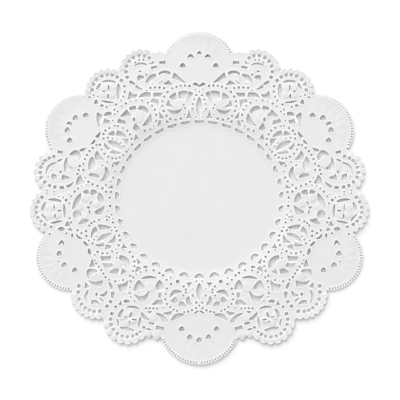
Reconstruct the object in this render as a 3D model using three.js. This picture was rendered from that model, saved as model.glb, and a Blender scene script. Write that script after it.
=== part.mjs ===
import * as THREE from 'three';

// A round paper doily lying flat: one sheet, cut to a border of plain lobes and beaded
// medallions, with a plain middle inside a ring of slots and open lacework around it.
// Millimetres, +Z up. The sheet's underside lies on z = 0 and its middle is at x = y = 0.

// Driving sizes
const SHEET_THICKNESS = 1.2;
const ARC_TOLERANCE = 0.14;
const ROUND_TOLERANCE = 0.06;
const SMALLEST_AREA = 5.3;

// Ring of slots around the plain middle
const SLOT_RING = {
  count: 36, centreY: -1, radiusX: 61, radiusY: 57.1, length: 6.8, depth: 2.9, crowding: 2.5,
};

// Paper
const PAPER = { color: 0xf4f4f3, roughness: 0.85, metalness: 0 };

// Right half of the border, clockwise from the top. An edge without beads is a plain arc;
// beads stand between cusps and swell from the cusp radius to the crown radius.
const BORDER_COLUMNS = ['x', 'y', 'cusp', 'crown', 'from', 'to', 'beads'];
const BORDER = [
  [0, 96.6, 27.2, 27.2, 90, 23.6, 0],
  [26.4, 91, 17.4, 18, 84, 70, 1],
  [29.2, 91, 17.4, 18, 79.4, 68, 1],
  [43, 94, 16.1, 17, 113, 2, 6],
  [67.3, 79, 16.6, 17.7, 114, -8, 7],
  [88.2, 50.3, 26.5, 26.5, 98, -33, 0],
  [113.6, 31.4, 3.2, 3.8, 128, 30, 1],
  [106.3, 18.9, 16.7, 17.9, 52, -47, 5],
  [108, -9.5, 17.6, 18.9, 50, -68, 7],
  [96.3, -43.8, 25, 25, 42, -94, 0],
  [76.5, -71.5, 18.3, 19.4, 3, -103, 7],
  [53.2, -91, 17.5, 18.5, -3, -139, 7],
  [37.7, -101.3, 2.4, 2.6, -30, -160, 1],
  [31.7, -102.4, 2.9, 3.1, 0, -150, 1],
  [0, -93.7, 30.2, 30.2, -20, -90, 0],
];

// Half-moon holes punched in the plain lobes
const PUNCH_COLUMNS = ['x', 'y', 'width', 'height'];
const PUNCHES = [
  [0, 107.3, 4.2, 3.6], [6.2, 105, 4.4, 3.6], [12.3, 98.8, 4.4, 4],
  [84.2, 61.3, 4.6, 3.4], [91.9, 59.3, 4.6, 3.8], [97.9, 50.2, 4.3, 4], [96.2, 42.6, 4.4, 3.6],
  [102.2, -34.5, 4.4, 3.8], [103.9, -41.5, 4.2, 3.8], [100.2, -50, 4.4, 3.8],
  [92.3, -53.8, 4.4, 3.8],
  [0, -105.2, 4.3, 3.6], [7, -103.5, 4.3, 3.6], [13, -97.5, 4.4, 3.6],
];

// An opening is a stroke from one end to the other, with a width at each end, a bulge on each
// side (below zero where that side is hollow) and a slant where an end is cut at an angle.
const STROKE_COLUMNS = [
  'fromX', 'fromY', 'toX', 'toY', 'startWidth', 'endWidth', 'leftBulge', 'rightBulge',
  'startSlant', 'endSlant',
];

const MIDDLE_OPENINGS = [
  [-4.9, 84.3, 4.9, 84.3, 0, 0, 0.9, 2.2],
  [0, 75, 0, 60.1, 0, 0, 2.3, 2.3],
  [0, -63.2, 0, -75.6, 0, 0, 2.1, 2.1],
];

const UPPER_TWIN_RING = [
  [6, 78.3, 9, 71.4, 3.5, 3.3, 0, -0.6, 0, -2],
  [10, 76, 15.4, 76.2, 6.4, 4.8, 0.5, -0.3, -2.8, 0],
  [17, 75.4, 20.9, 73.5, 5.3, 2.8, 0.5, 0, -1.9, 1.9],
  [22.8, 72.8, 21.5, 67.7, 0, 5.2, 0.3, -0.8, 0, -2.5],
  [12.6, 66, 23.8, 66, 0, 0, -1.4, 4.3],
  [7.6, 66.1, 7.5, 59.3, 0, 4.4, -0.6, -0.6],
];

const UPPER_BORDER = [
  [10.1, 85.2, 20.2, 91.1, 0, 4.1, -0.4, 0.3, 0, 0.7],
  [21.6, 92.1, 30.2, 91.7, 2.2, 1.6, 1.6, -1.1],
  [23.1, 84, 22.7, 87.2, 7.2, 0, 0, 0],
  [32, 91.9, 40.5, 85.2, 0, 0, 2.1, 0.9],
  [25.2, 100.3, 29.7, 100.2, 3.4, 2.5, -0.5, -0.5],
  [31.4, 97, 35.5, 96.5, 1, 1.4, 0, 0.1],
];

const UPPER_SCROLL_MEDALLION = [
  [38.6, 98.8, 48.3, 98.2, 0, 0, 1.9, -1],
  [43.1, 93.6, 49.4, 92.6, 0, 0, 3.6, -1.1],
  [41.2, 90, 45.4, 86.6, 0, 0, 2.2, -0.5],
  [41.7, 80.4, 47.3, 83, 0, 2.2, -0.4, 0.4],
];

const UPPER_ROSETTE_MEDALLION = [
  [62.2, 86, 72.5, 86.1, 0, 0, 1.9, -0.6],
  [73.3, 85.4, 76.9, 80.3, 0, 0, 0.5, 0.7],
  [63, 70.7, 73, 72.1, 0, 0, 0.3, 1],
  [60.2, 84.9, 60.2, 72.5, 0, 0, 1.5, 1.4],
  [76.5, 73, 76.6, 69.6, 1.2, 2.8, 0.5, 0.4],
];

const UPPER_BAND = [
  [28.3, 76.4, 34, 76.4, 2.9, 2.8, 0, 0, -2.5, 0],
  [36.1, 75.9, 45, 74.3, 3.9, 0.3, 1.7, 0],
  [46.5, 75.7, 52.4, 76, 2.7, 6.9, -1.4, -0.3, -1.5, -1.4],
  [30.4, 69.3, 35.6, 72.3, 6, 3.1, 0.2, -1.8, 2.6, 0],
  [30.1, 63.9, 27.8, 59, 0, 3.1, -0.4, 0, 0, -1],
  [29, 57.4, 29.8, 53.5, 1.4, 2.1, 0.2, 0, 0, 2.2],
];

const UPPER_SCROLL_RING = [
  [38, 63, 45.3, 66.9, 1.9, 3.1, 1.7, -0.8],
  [46.8, 66.8, 51.7, 65.7, 3, 2, 0.4, -0.3, 0, 0.6],
  [54.5, 60.5, 53.9, 65.5, 8.5, 0, 0, 0, 1.6, 0],
  [54.7, 55.9, 60.3, 57.4, 2.9, 3.3, 0, 0, 1.4, -0.4],
  [36.3, 62.7, 42.3, 53.4, 0, 0, -0.9, 4.3],
  [45.5, 50.3, 48.4, 53.4, 3.5, 3.8, 0.3, 0, -0.7, 1.7],
  [44.6, 44.1, 47.7, 44.9, 0, 5.6, -0.3, -0.4],
];

const UPPER_LOBE_FOOT = [
  [65.7, 65.2, 68.6, 60.5, 4.1, 3.9, 0, -0.3, 4.2, 1.8],
  [66.7, 56.3, 70.8, 57.3, 2.9, 4.2, 0, 0.1, -0.4, -0.3],
  [73.6, 62.2, 74.4, 52.3, 4, 0, 1.1, -0.4, -2, 0],
  [73.3, 49.2, 76.1, 44.7, 0, 2.6, 0, 0.4],
  [77.3, 42.3, 80.6, 39.4, 1.8, 0, 0.2, 0.2, -1.5, 0],
  [85, 35.5, 88.2, 34.8, 2.7, 2, 0, 0, -3.4, 0.2],
  [88.1, 28.5, 96.7, 31.7, 3.8, 0, 4.4, -1.2, -0.8, 0],
  [97.9, 31, 96.4, 20.2, 0, 6.6, 0.8, -0.7, 0, 0.4],
];

const UPPER_CROSSED_RING = [
  [56.7, 35.6, 68.2, 42.3, 0, 0, 2.7, 1.4],
  [54.1, 45.2, 61.3, 48.2, 0, 3.6, 0.9, 0.2, 0, 0.3],
  [62.9, 47.8, 67.7, 46.8, 3.8, 0, 0.5, 0],
  [55.6, 44, 53.6, 38.4, 5.2, 0, -0.6, 0.3, -2.2, 0],
  [70.6, 40.9, 67, 36, 0, 2.8, 0.6, -0.4, 0, -0.7],
  [58.3, 32.9, 65.5, 34.5, 1.3, 2.4, -0.2, 0.2, -1, -1.9],
  [60.9, 23, 61.6, 26.4, 0, 6.6, -0.4, -0.6],
];

const SIDE_SCROLL_RING = [
  [75.6, 35, 73.9, 28.3, 0, 6.5, 1.3, -0.5, 0, -1.5],
  [79.7, 30.8, 79.9, 20.4, 0, 4.5, 1.1, 1.7],
  [74.1, 14.7, 82, 18.3, 2.5, 0, 1.1, 0.8, -1.6, 0],
  [70.2, 22.9, 73.9, 12.1, 0, 0, -1.7, 4.9],
  [88.1, 17.1, 88.1, 10.2, 0, 6.3, 1.2, -0.3, 0, 1.6],
  [64.4, 8.3, 68.7, 7.3, 3, 0, -0.6, -0.2],
];

const SIDE_SCROLL_MEDALLION = [
  [97.2, 14.7, 102, 15.3, 2, 4.3, -0.2, 0, -2, -0.3],
  [106.6, 13, 107.3, 17.7, 3.8, 2.9, -0.4, 0.8, 0, -1.3],
  [106, 26.3, 114, 17.8, 0, 0, 2.9, -1.8],
  [93, 12.2, 98.2, 8, 0, 2.1, -0.3, 0.6],
  [100.3, 7.6, 104.5, 7.6, 2.4, 2.3, 0, 0],
];

const FLOWER_RING = [
  [76.4, 3.1, 80.5, 3.9, 1.9, 4, 0.9, 0, -1.4, 0],
  [82, 4.5, 85.6, 3.6, 3, 2, 0.5, 0, 0, 1],
  [87.8, 3.7, 94, -8, 0, 0, 1.5, 2.3],
  [74.1, 4.1, 71.6, -3.3, 0, 2.9, 2.7, 1],
  [73.9, -7.9, 73.6, -12.5, 8, 3.3, 0.4, 0, 4.2, 0],
  [91.4, -8.8, 91.6, -16, 0, 0, 2.2, 4.1],
  [83.6, -17.9, 88.3, -17.3, 3.2, 4.9, -0.2, 0.3, -3.5, -2.9],
  [97.7, -17.1, 97.8, -21, 0, 4.3, 0, 0],
  [95.3, -21.7, 96.1, -24.2, 0, 4.4, 0, 0],
  [94.5, -27.7, 99.4, -26.7, 3.5, 1.9, 0, -0.7],
  [91.1, -26.6, 86.7, -30.7, 0, 0, 1.2, -0.6],
];

const SIDE_ROSETTE_MEDALLION = [
  [102.1, -2.9, 112.2, -1.3, 0, 0, 1.5, -0.3],
  [114, -3.1, 116.4, -9.3, 0, 2.4, 0.7, 0.1],
  [117.5, -12, 112.4, -17.9, 0, 0, 0.3, 0.9],
  [101.7, -16.9, 110.7, -18.9, 0, 0, 0.5, 0.9],
  [100.6, -4.4, 100.1, -14.9, 0, 0, 0.5, 1.3],
  [99.7, -23.3, 104.8, -22.9, 0, 0, 1.3, 1.9],
];

const LOWER_CROSSED_RING = [
  [65.2, -22.3, 74.5, -22, 0, 3.6, 0.9, 0.3, 0, 1.8],
  [75.9, -23, 79.9, -30.6, 3.5, 0, 1, -1.1, -2.1, 0],
  [64.7, -26.2, 76.2, -32.1, 0, 0, 2.2, 1.2],
  [62.4, -27.3, 65.5, -33.4, 0, 5.3, -0.8, 0.2, 0, 2.6],
  [64.9, -36, 69.7, -36.5, 0, 3.8, 0.2, 0.5, 0, -1.4],
  [70.7, -34.5, 77.4, -34.8, 2.7, 0, -0.4, 0.9],
  [85.9, -32.2, 82.1, -36.4, 0, 0, 1.2, -0.2],
  [81.9, -37.5, 80, -42.8, 0, 0, 2.1, 1],
  [56.1, -33.5, 55.8, -37.3, 0, 5.1, -0.6, -0.8],
];

const LOWER_SCROLL_RING = [
  [53.6, -51.8, 59.3, -44, 1.8, 1.9, 2.6, -1, -3.6, 1.7],
  [65.8, -44.9, 72.9, -45, 4.1, 3.7, -0.6, 0, -0.9, 0.9],
  [64.6, -49.7, 70.8, -50.4, 2.7, 4.3, -0.3, 0, 0.8, 1.9],
  [59.8, -55.5, 67, -55.4, 3.8, 0, 1.9, 0.5, -1.4, 0],
  [53.5, -54.9, 57.6, -54.8, 0, 5.1, -0.3, -0.2, 0, -1.5],
  [79.4, -45.4, 79.4, -51.2, 0, 4.1, 0, 0],
  [46.7, -44.9, 44.6, -48.9, 0, 3.1, -0.4, 0],
];

const LOWER_SCROLL_MEDALLION = [
  [76.2, -53.9, 82.2, -60, 3, 0.4, 4, -1.7],
  [71.9, -63.2, 82.4, -61.2, 4.9, 0, -0.5, 2.2, 0.5, 0],
  [84.1, -62.8, 83.3, -66.8, 0, 4.3, 0, 0],
  [82.4, -68.6, 82, -78.7, 0, 0, 2.9, -1.5],
  [68.5, -69.2, 70.5, -77.2, 0, 0, 3.9, 0.4],
  [73.5, -79.4, 80, -77.9, 0, 3.4, 1.4, 0],
  [64.2, -69.9, 64.3, -74.6, 2.4, 1.8, 0, 0],
  [67, -62.6, 64.8, -67.5, 0.2, 1.4, 0.3, 0.6],
  [56.6, -62.6, 56.5, -69.9, 8.3, 4.6, -0.3, -0.3, 3.4, 0.6],
  [58.5, -75.7, 58.8, -79.4, 0, 3.6, -0.8, -0.3],
  [51.2, -77.3, 55.8, -77, 0, 2, 0.9, 0.2],
];

const LOWER_RING = [
  [31.2, -59.8, 43.5, -60.4, 0, 0, 2.1, -0.4],
  [45, -61.1, 44.5, -68.3, 0, 8.5, 0.8, 0.9, 0, 0.8],
  [37.5, -69.5, 48.4, -71.2, 0, 0, -3.1, 7.2],
  [29.4, -60.8, 28.8, -68.2, 0, 5.6, 1.6, 0.8],
  [28.9, -70.1, 29.4, -74.2, 2.5, 3.1, 0, 0],
  [29.5, -75.4, 30.8, -79.4, 3.5, 8.6, 0, 0, 1.6, 3.1],
  [45.7, -51.1, 45.2, -54.2, 1.7, 5.5, 0, -0.3, 0.7, 2.7],
];

const LOWER_TWIN_RING = [
  [12.2, -70.2, 22, -74.2, 0, 0, 4, -1],
  [16.6, -74.9, 19.8, -77.5, 3.7, 3.7, 0, 0, -1, 0.3],
  [13.5, -77.1, 12.3, -80.6, 2.8, 6, 0, 0, -1.4, -2.3],
  [7.6, -72.8, 6.7, -79.5, 0, 3.5, 1.7, -0.5],
  [7.5, -63.1, 7.5, -67.9, 4.2, 0, -0.7, -0.6, 0.3, 0],
];

const LOWER_BORDER = [
  [10.7, -86.3, 20.7, -91.5, 0, 2.6, 3.2, 0],
  [21.1, -86, 26.9, -85.6, 3.8, 0, 0, 0, -2.2, 0],
  [26.1, -92.9, 32.6, -85.5, 4.5, 0, 2.2, -0.9, -4.9, 0],
  [37.5, -90.6, 42.9, -84.8, 1.6, 0, -0.2, 1.8],
  [36.8, -86, 36.8, -84.2, 0, 4.8, 0, 0],
  [26.6, -97.8, 32.1, -96.1, 3.3, 3.9, -0.2, -0.6],
];

const LOWER_ROSETTE_MEDALLION = [
  [44.2, -82.9, 54.3, -81.4, 0, 0, 1.8, -0.5],
  [56.3, -82.3, 59.2, -88.8, 0, 3, 0.7, 0],
  [61.2, -89.6, 60.2, -95.6, 0, 0, 0.2, 1],
  [48, -98.5, 59.2, -96.2, 0, 0, 1, 2.1],
  [43.7, -88.1, 45.6, -96.6, 0, 0, 0.4, 1.4],
];

const RIGHT_OPENINGS = [
  UPPER_TWIN_RING, UPPER_BORDER, UPPER_SCROLL_MEDALLION, UPPER_ROSETTE_MEDALLION, UPPER_BAND,
  UPPER_SCROLL_RING, UPPER_LOBE_FOOT, UPPER_CROSSED_RING, SIDE_SCROLL_RING,
  SIDE_SCROLL_MEDALLION, FLOWER_RING, SIDE_ROSETTE_MEDALLION, LOWER_CROSSED_RING,
  LOWER_SCROLL_RING, LOWER_SCROLL_MEDALLION, LOWER_RING, LOWER_TWIN_RING, LOWER_BORDER,
  LOWER_ROSETTE_MEDALLION,
].flat();

/** A table row as an object keyed by the table's column names. */
function row(columns, values) {
  return Object.fromEntries(columns.map((name, index) => [name, values[index] ?? 0]));
}

/** The point at a radius and an angle in degrees about a middle. */
function polar(x, y, radius, degrees) {
  const angle = THREE.MathUtils.degToRad(degrees);
  return new THREE.Vector2(x + radius * Math.cos(angle), y + radius * Math.sin(angle));
}

/** Points of a side that bulges to the left of its travel, without its last point. */
function bowedSide(from, to, bulge) {
  const along = to.clone().sub(from);
  const left = new THREE.Vector2(-along.y, along.x).normalize();
  const control = from.clone().lerp(to, 0.5).addScaledVector(left, 2 * bulge);
  const steps = Math.max(1, Math.round(Math.sqrt(Math.abs(bulge) / ARC_TOLERANCE)));
  return new THREE.QuadraticBezierCurve(from, control, to).getPoints(steps).slice(0, -1);
}

/** Points of a round arc between two angles in degrees, without its last point. */
function roundArc(x, y, radius, fromDegrees, toDegrees) {
  const step = 2 * THREE.MathUtils.radToDeg(Math.acos(1 - ROUND_TOLERANCE / radius));
  const steps = Math.ceil(Math.abs(toDegrees - fromDegrees) / step);
  return Array.from({ length: steps }, (_, index) => (
    polar(x, y, radius, THREE.MathUtils.lerp(fromDegrees, toDegrees, index / steps))
  ));
}

/** Points of one border section, clockwise, with its last point. */
function borderSection(values) {
  const { x, y, cusp, crown, from, to, beads } = row(BORDER_COLUMNS, values);
  const end = polar(x, y, cusp, to);
  if (beads === 0) return [...roundArc(x, y, cusp, from, to), end];
  const turn = (to - from) / beads;
  const chordDepth = cusp * Math.cos(THREE.MathUtils.degToRad(turn / 2));
  const beadPoints = Array.from({ length: beads }, (_, index) => bowedSide(
    polar(x, y, cusp, from + turn * index),
    polar(x, y, cusp, from + turn * (index + 1)),
    crown - chordDepth,
  ));
  return [...beadPoints.flat(), end];
}

/** The same points on the other side of the middle line. */
function mirrored(points) {
  return points.map(({ x, y }) => new THREE.Vector2(-x, y)).reverse();
}

/** Neighbouring points that coincide are made one. */
function withoutRepeats(points) {
  return points.filter((point, index) => {
    const before = points.at(index - 1);
    return point.distanceTo(before) > ROUND_TOLERANCE;
  });
}

/** The doily's whole edge, anticlockwise: the right half and its mirror image. */
function edgeOutline() {
  const rightHalf = BORDER.flatMap(borderSection);
  return withoutRepeats([...rightHalf, ...mirrored(rightHalf)]).reverse();
}

/** Outline of a stroke-shaped opening. */
function strokeOutline(values) {
  const stroke = row(STROKE_COLUMNS, values);
  const from = new THREE.Vector2(stroke.fromX, stroke.fromY);
  const to = new THREE.Vector2(stroke.toX, stroke.toY);
  const along = to.clone().sub(from).normalize();
  const left = new THREE.Vector2(-along.y, along.x);
  const corner = (end, width, slant, side) => end.clone()
    .addScaledVector(left, side * width / 2)
    .addScaledVector(along, side * slant / 2);
  const startLeft = corner(from, stroke.startWidth, stroke.startSlant, 1);
  const startRight = corner(from, stroke.startWidth, stroke.startSlant, -1);
  const endLeft = corner(to, stroke.endWidth, stroke.endSlant, 1);
  const endRight = corner(to, stroke.endWidth, stroke.endSlant, -1);
  return withoutRepeats([
    ...bowedSide(startLeft, endLeft, stroke.leftBulge),
    ...bowedSide(endLeft, endRight, 0),
    ...bowedSide(endRight, startRight, stroke.rightBulge),
    ...bowedSide(startRight, startLeft, 0),
  ]);
}

/** Outline of a slot of the ring: straight outside, bulging towards the middle. */
function slotOutline(index) {
  const evenTurn = index * 360 / SLOT_RING.count;
  const crowding = SLOT_RING.crowding * Math.sin(THREE.MathUtils.degToRad(evenTurn));
  const angle = THREE.MathUtils.degToRad(evenTurn - crowding);
  const centre = new THREE.Vector2(
    SLOT_RING.radiusX * Math.sin(angle),
    SLOT_RING.centreY + SLOT_RING.radiusY * Math.cos(angle),
  );
  const along = new THREE.Vector2(
    SLOT_RING.radiusX * Math.cos(angle),
    -SLOT_RING.radiusY * Math.sin(angle),
  ).normalize();
  const outward = new THREE.Vector2(-along.y, along.x);
  const outerEdge = centre.clone().addScaledVector(outward, SLOT_RING.depth / 2);
  const start = outerEdge.clone().addScaledVector(along, -SLOT_RING.length / 2);
  const end = outerEdge.clone().addScaledVector(along, SLOT_RING.length / 2);
  return [start, ...bowedSide(end, start, SLOT_RING.depth)];
}

/** Outline of a half-moon hole: arched above, shallow below. */
function punchOutline(values) {
  const { x, y, width, height } = row(PUNCH_COLUMNS, values);
  const shoulder = y - height * 0.15;
  const left = new THREE.Vector2(x - width / 2, shoulder);
  const right = new THREE.Vector2(x + width / 2, shoulder);
  return [...bowedSide(left, right, height * 0.65), ...bowedSide(right, left, height * 0.35)];
}

/** Every opening of the sheet that is large enough to be cut through. */
function openingOutlines() {
  const onMiddleLine = [
    ...MIDDLE_OPENINGS.map(strokeOutline),
    ...PUNCHES.filter(([x]) => x === 0).map(punchOutline),
  ];
  const onRight = [
    ...RIGHT_OPENINGS.map(strokeOutline),
    ...PUNCHES.filter(([x]) => x > 0).map(punchOutline),
  ];
  const slots = Array.from({ length: SLOT_RING.count }, (_, index) => slotOutline(index));
  const cut = [...onMiddleLine, ...onRight, ...onRight.map(mirrored), ...slots];
  return cut.filter((points) => Math.abs(THREE.ShapeUtils.area(points)) > SMALLEST_AREA);
}

/** The sheet: its edge with the openings cut through, one even thickness. */
function doilyGeometry() {
  const sheet = new THREE.Shape(edgeOutline());
  sheet.holes = openingOutlines().map((points) => new THREE.Path(points));
  return new THREE.ExtrudeGeometry(sheet, { depth: SHEET_THICKNESS, bevelEnabled: false });
}

const paper = new THREE.MeshStandardMaterial(PAPER);
paper.name = 'paper';

const doily = new THREE.Mesh(doilyGeometry(), paper);
doily.name = 'doily';

const part = new THREE.Group();
part.add(doily);

export default part;
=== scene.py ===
"""A round paper doily, embossed and cut, lying on a plain pale floor.

The doily is one sheet. Its pattern is charted on the right half, with the sheet's middle
at the origin and +Y towards the top, and mirrored for the left half. Sizes of the pattern
and the relief are in millimetres and the mesh is in metres. Angles are in degrees,
anticlockwise from +X.
"""

import logging
import math
from dataclasses import dataclass, field
from enum import Enum

import bmesh
import bpy
import numpy as np
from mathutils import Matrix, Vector
from mathutils.geometry import delaunay_2d_cdt
from mathutils.kdtree import KDTree


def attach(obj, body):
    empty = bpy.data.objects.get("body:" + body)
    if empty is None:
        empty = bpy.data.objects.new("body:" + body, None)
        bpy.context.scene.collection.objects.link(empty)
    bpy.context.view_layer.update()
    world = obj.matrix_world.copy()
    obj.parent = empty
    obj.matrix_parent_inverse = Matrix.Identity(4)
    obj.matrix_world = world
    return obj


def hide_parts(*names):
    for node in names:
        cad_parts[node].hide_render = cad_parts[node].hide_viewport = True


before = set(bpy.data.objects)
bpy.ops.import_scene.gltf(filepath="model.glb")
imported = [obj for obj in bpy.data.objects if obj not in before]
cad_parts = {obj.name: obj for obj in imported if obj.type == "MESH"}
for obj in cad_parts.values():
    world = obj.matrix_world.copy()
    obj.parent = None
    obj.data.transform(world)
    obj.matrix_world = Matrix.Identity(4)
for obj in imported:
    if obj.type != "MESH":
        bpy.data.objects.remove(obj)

LOG = logging.getLogger("doily")

# Metres in a millimetre
METRES = 0.001

# Lengths below this, in millimetres, count as nothing
NO_LENGTH = 1e-6

# A flat parabola is longer than its chord by this, times its bulge squared over the chord
PARABOLA_EXCESS = 8 / 3

# Length after which the wave texture repeats, at a scale of one
WAVE_BAND = math.pi / 10

# The comment above each table names its columns
Rows = tuple[tuple[float, ...], ...]
RingRows = tuple[tuple[float, float, float, float, tuple[float, ...]], ...]
Faces = list[tuple[int, ...]]
Colour = tuple[float, float, float]

# Right half of the border, clockwise from the top: middle x, y, radius at the cusps and at
# the crowns, start and end angle in degrees, and how many beads, with none for a plain arc
BORDER: Rows = (
    (0, 96.6, 27.2, 27.2, 90, 23.6, 0),
    (26.4, 91, 17.4, 18, 84, 70, 1),
    (29.2, 91, 17.4, 18, 79.4, 68, 1),
    (43, 94, 16.1, 17, 113, 2, 6),
    (67.3, 79, 16.6, 17.7, 114, -8, 7),
    (88.2, 50.3, 26.5, 26.5, 98, -29.5, 0),
    (108.7, 36.8, 0.4, 0.4, 90, 270, 0),
    (113.4, 30.9, 3, 3.5, 128, 30, 1),
    (105.9, 19.3, 16.2, 17.2, 52, -47, 5),
    (107.8, -9.3, 17.3, 18.4, 50, -68, 7),
    (96.3, -43.8, 25, 25, 42, -94, 0),
    (76.5, -71.5, 18.1, 19.1, 3, -103, 7),
    (53.2, -91, 17.3, 18.2, -3, -139, 7),
    (40, -101.9, 0.4, 0.4, 0, 180, 0),
    (37.7, -101.3, 2.4, 2.6, -40, -150, 1),
    (35.6, -101.8, 0.4, 0.4, 0, 180, 0),
    (31.7, -102.4, 2.9, 3.1, -10, -150, 1),
    (27.6, -103.5, 0.4, 0.4, -20, 160, 0),
    (0, -93.7, 30.2, 30.2, -20, -90, 0),
)

# Half-moon holes punched in the plain lobes: x, y, width, height
PUNCHES: Rows = (
    (12.3, 98.2, 4.3, 3.3),
    (84.2, 61.3, 4.6, 3.4), (91.9, 59.3, 4.6, 3.8), (97.9, 50.2, 4.3, 4),
    (96.2, 42.6, 4.4, 3.6),
    (103.9, -41.5, 4.2, 3.8), (100.2, -50, 4.4, 3.8), (92.3, -53.8, 4.2, 3.6),
    (0, -105.8, 4.5, 3.7), (7, -103.5, 4.3, 3.6), (13, -97.5, 4.4, 3.6),
)

# Openings as strokes: from x, y, to x, y, start and end width, left and right bulge, and
# start and end slant, where they have one. The tables down to the slits hold strokes, apart
# from the winged opening
MIDDLE_OPENINGS: Rows = (
    (-1.6, 106.7, 1.6, 106.7, 0.6, 0.6, 1.7, -0.7),
    (0, 75, 0, 60.1, 0, 0, 2.3, 2.3),
    (0, -63.2, 0, -75.6, 0, 0, 2.1, 2.1),
)

# Right half of the winged opening on the middle line, from its lower point round: x, y
WING_OPENING: Rows = (
    (0, 82.2), (3.1, 83.5), (5, 84.3), (3.9, 84.8), (2.7, 85.6), (1.5, 84.4), (0, 83.6),
)

# Punched holes that their own flap nearly closes
FLAP_HOLES: Rows = (
    (4.1, 104.2, 8.6, 104, 0.8, 0.7, 2.1, -0.9),
    (94.4, 54, 98, 55.5, 1.1, 1.7, 0.9, -0.2),
    (100.2, -35.6, 104.4, -35.2, 0.8, 1, 3.2, -2.1),
)

UPPER_TWIN_RING: Rows = (
    (6, 78.3, 9, 71.4, 3.5, 3.3, 0, -0.6, 0, -2),
    (10, 76, 15.4, 76.2, 6.4, 4.8, 0.5, -0.3, -2.8, 0),
    (17, 75.4, 20.9, 73.5, 5.3, 2.8, 0.5, 0, -1.9, 1.9),
    (22.8, 72.8, 21.5, 67.7, 0, 5.2, 0.3, -0.8, 0, -2.5),
    (12.6, 66, 23.8, 66, 0, 0, -1.4, 4.3),
    (7.6, 66.1, 7.5, 59.3, 0, 4.4, -0.6, -0.6),
)

UPPER_BORDER: Rows = (
    (10.1, 85.2, 19.4, 91, 0, 4, 0.15, 0.3, 0, 0.7),
    (21.6, 92.1, 30.2, 91.7, 2.2, 1.6, 1.5, -1.6),
    (23.1, 84, 22.7, 87.2, 7.2, 0, 0, 0),
    (32.2, 91.6, 40, 85.3, 1.3, 0, 1.6, 1.2),
    (25.2, 100.4, 29.5, 100.3, 2.9, 2, -0.4, -0.4),
    (31.4, 97.4, 35.6, 96.4, 1.1, 1.7, 0, 0.1),
)

UPPER_SCROLL_MEDALLION: Rows = (
    (38.7, 98.7, 48.3, 98.1, 0.4, 0.4, 1.8, -0.9),
    (41.1, 89.7, 45.6, 86.7, 0.8, 0, 2.9, 0.2),
    (41.7, 80.4, 47.3, 83, 0, 2.2, -0.4, 0.4),
)

UPPER_ROSETTE_MEDALLION: Rows = (
    (62.2, 85.8, 72.5, 86.1, 0.5, 0, 1.5, -0.1),
    (73.3, 85.1, 76.7, 80.4, 0.3, 0, 0.5, 1),
    (63, 70.7, 73, 72.1, 0, 0, 0.3, 1),
    (60, 84.9, 60.2, 72.7, 0.3, 0, 1.2, 1.7),
    (76.5, 72.7, 76.6, 69.7, 0.8, 2.6, 0.3, 0.2),
)

UPPER_BAND: Rows = (
    (28.3, 76.4, 34, 76.4, 2.9, 2.8, 0, 0, -2.5, 0),
    (36.1, 76.4, 44.7, 74.9, 3.1, 0.3, 1.6, 0),
    (46.5, 75.7, 52.4, 76, 2.7, 6.9, -1.4, -0.3, -1.5, -1.4),
    (30.4, 69.3, 35.6, 72.3, 6, 3.1, 0.2, -1.8, 2.6, 0),
    (30.1, 63.9, 27.8, 59, 0, 3.1, -0.4, 0, 0, -1),
    (29, 57.4, 29.8, 53.5, 1.4, 2.1, 0.2, 0, 0, 2.2),
)

UPPER_SCROLL_RING: Rows = (
    (38, 63, 44.9, 66.9, 1.9, 3, 1.6, -0.8),
    (47, 66.8, 51.7, 65.7, 2.8, 2, 0.4, -0.3, 0, 0.6),
    (54.5, 60.5, 53.9, 65.5, 8.5, 0, 0, 0, 1.6, 0),
    (54.7, 55.9, 60.3, 57.4, 2.9, 3.3, -0.6, 0, 1.4, -0.4),
    (36.3, 62.7, 42.3, 53.4, 0.3, 0.3, -0.5, 4.3),
    (45.5, 50.3, 48.4, 53.4, 3.5, 3.8, 0.3, 0, -0.7, 1.7),
    (44.6, 44.1, 47.7, 44.9, 0, 5.6, -0.3, -0.4),
)

UPPER_LOBE_FOOT: Rows = (
    (65.2, 62.3, 70.5, 61.2, 2.2, 0.9, 1.1, -0.1),
    (66.7, 56.3, 70.8, 57.3, 2.9, 4.2, -0.7, 0.1, -0.4, -0.3),
    (73.6, 62.2, 74.4, 52.3, 4, 0, 1.1, -0.4, -2, 0),
    (73.3, 49.2, 76.1, 44.7, 0, 2.6, 0, 0.4),
    (77.3, 42.3, 80.6, 39.4, 1.8, 0, 0.2, 0.2, -1.5, 0),
    (85, 35.8, 88.7, 35.1, 2.2, 1.5, 0, 0, -2.6, 0),
    (88.1, 28.9, 96.6, 31.7, 2.9, 0, 4.3, -1.5, -0.8, 0),
    (98, 30.4, 96.7, 20.5, 0, 6.5, 1.5, -1.7, 0, 1.5),
)

UPPER_CROSSED_RING: Rows = (
    (56.7, 35.6, 68.2, 42.3, 0, 0, 2.7, 1.4),
    (54.1, 45.2, 61.3, 48.2, 0, 3.6, 0.9, 0.2, 0, 0.3),
    (62.9, 47.8, 67.7, 46.8, 3.8, 0, 0.5, 0),
    (55.6, 44, 53.6, 38.4, 5.2, 0, -0.6, 0.3, -2.2, 0),
    (70.6, 40.9, 67, 36, 0, 2.8, 0.6, -0.4, 0, -0.7),
    (58.3, 32.9, 65.5, 34.5, 1.3, 2.4, -0.2, 0.2, -1, -1.9),
    (60.9, 23, 61.6, 26.4, 0, 6.6, -0.4, -0.6),
)

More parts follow.
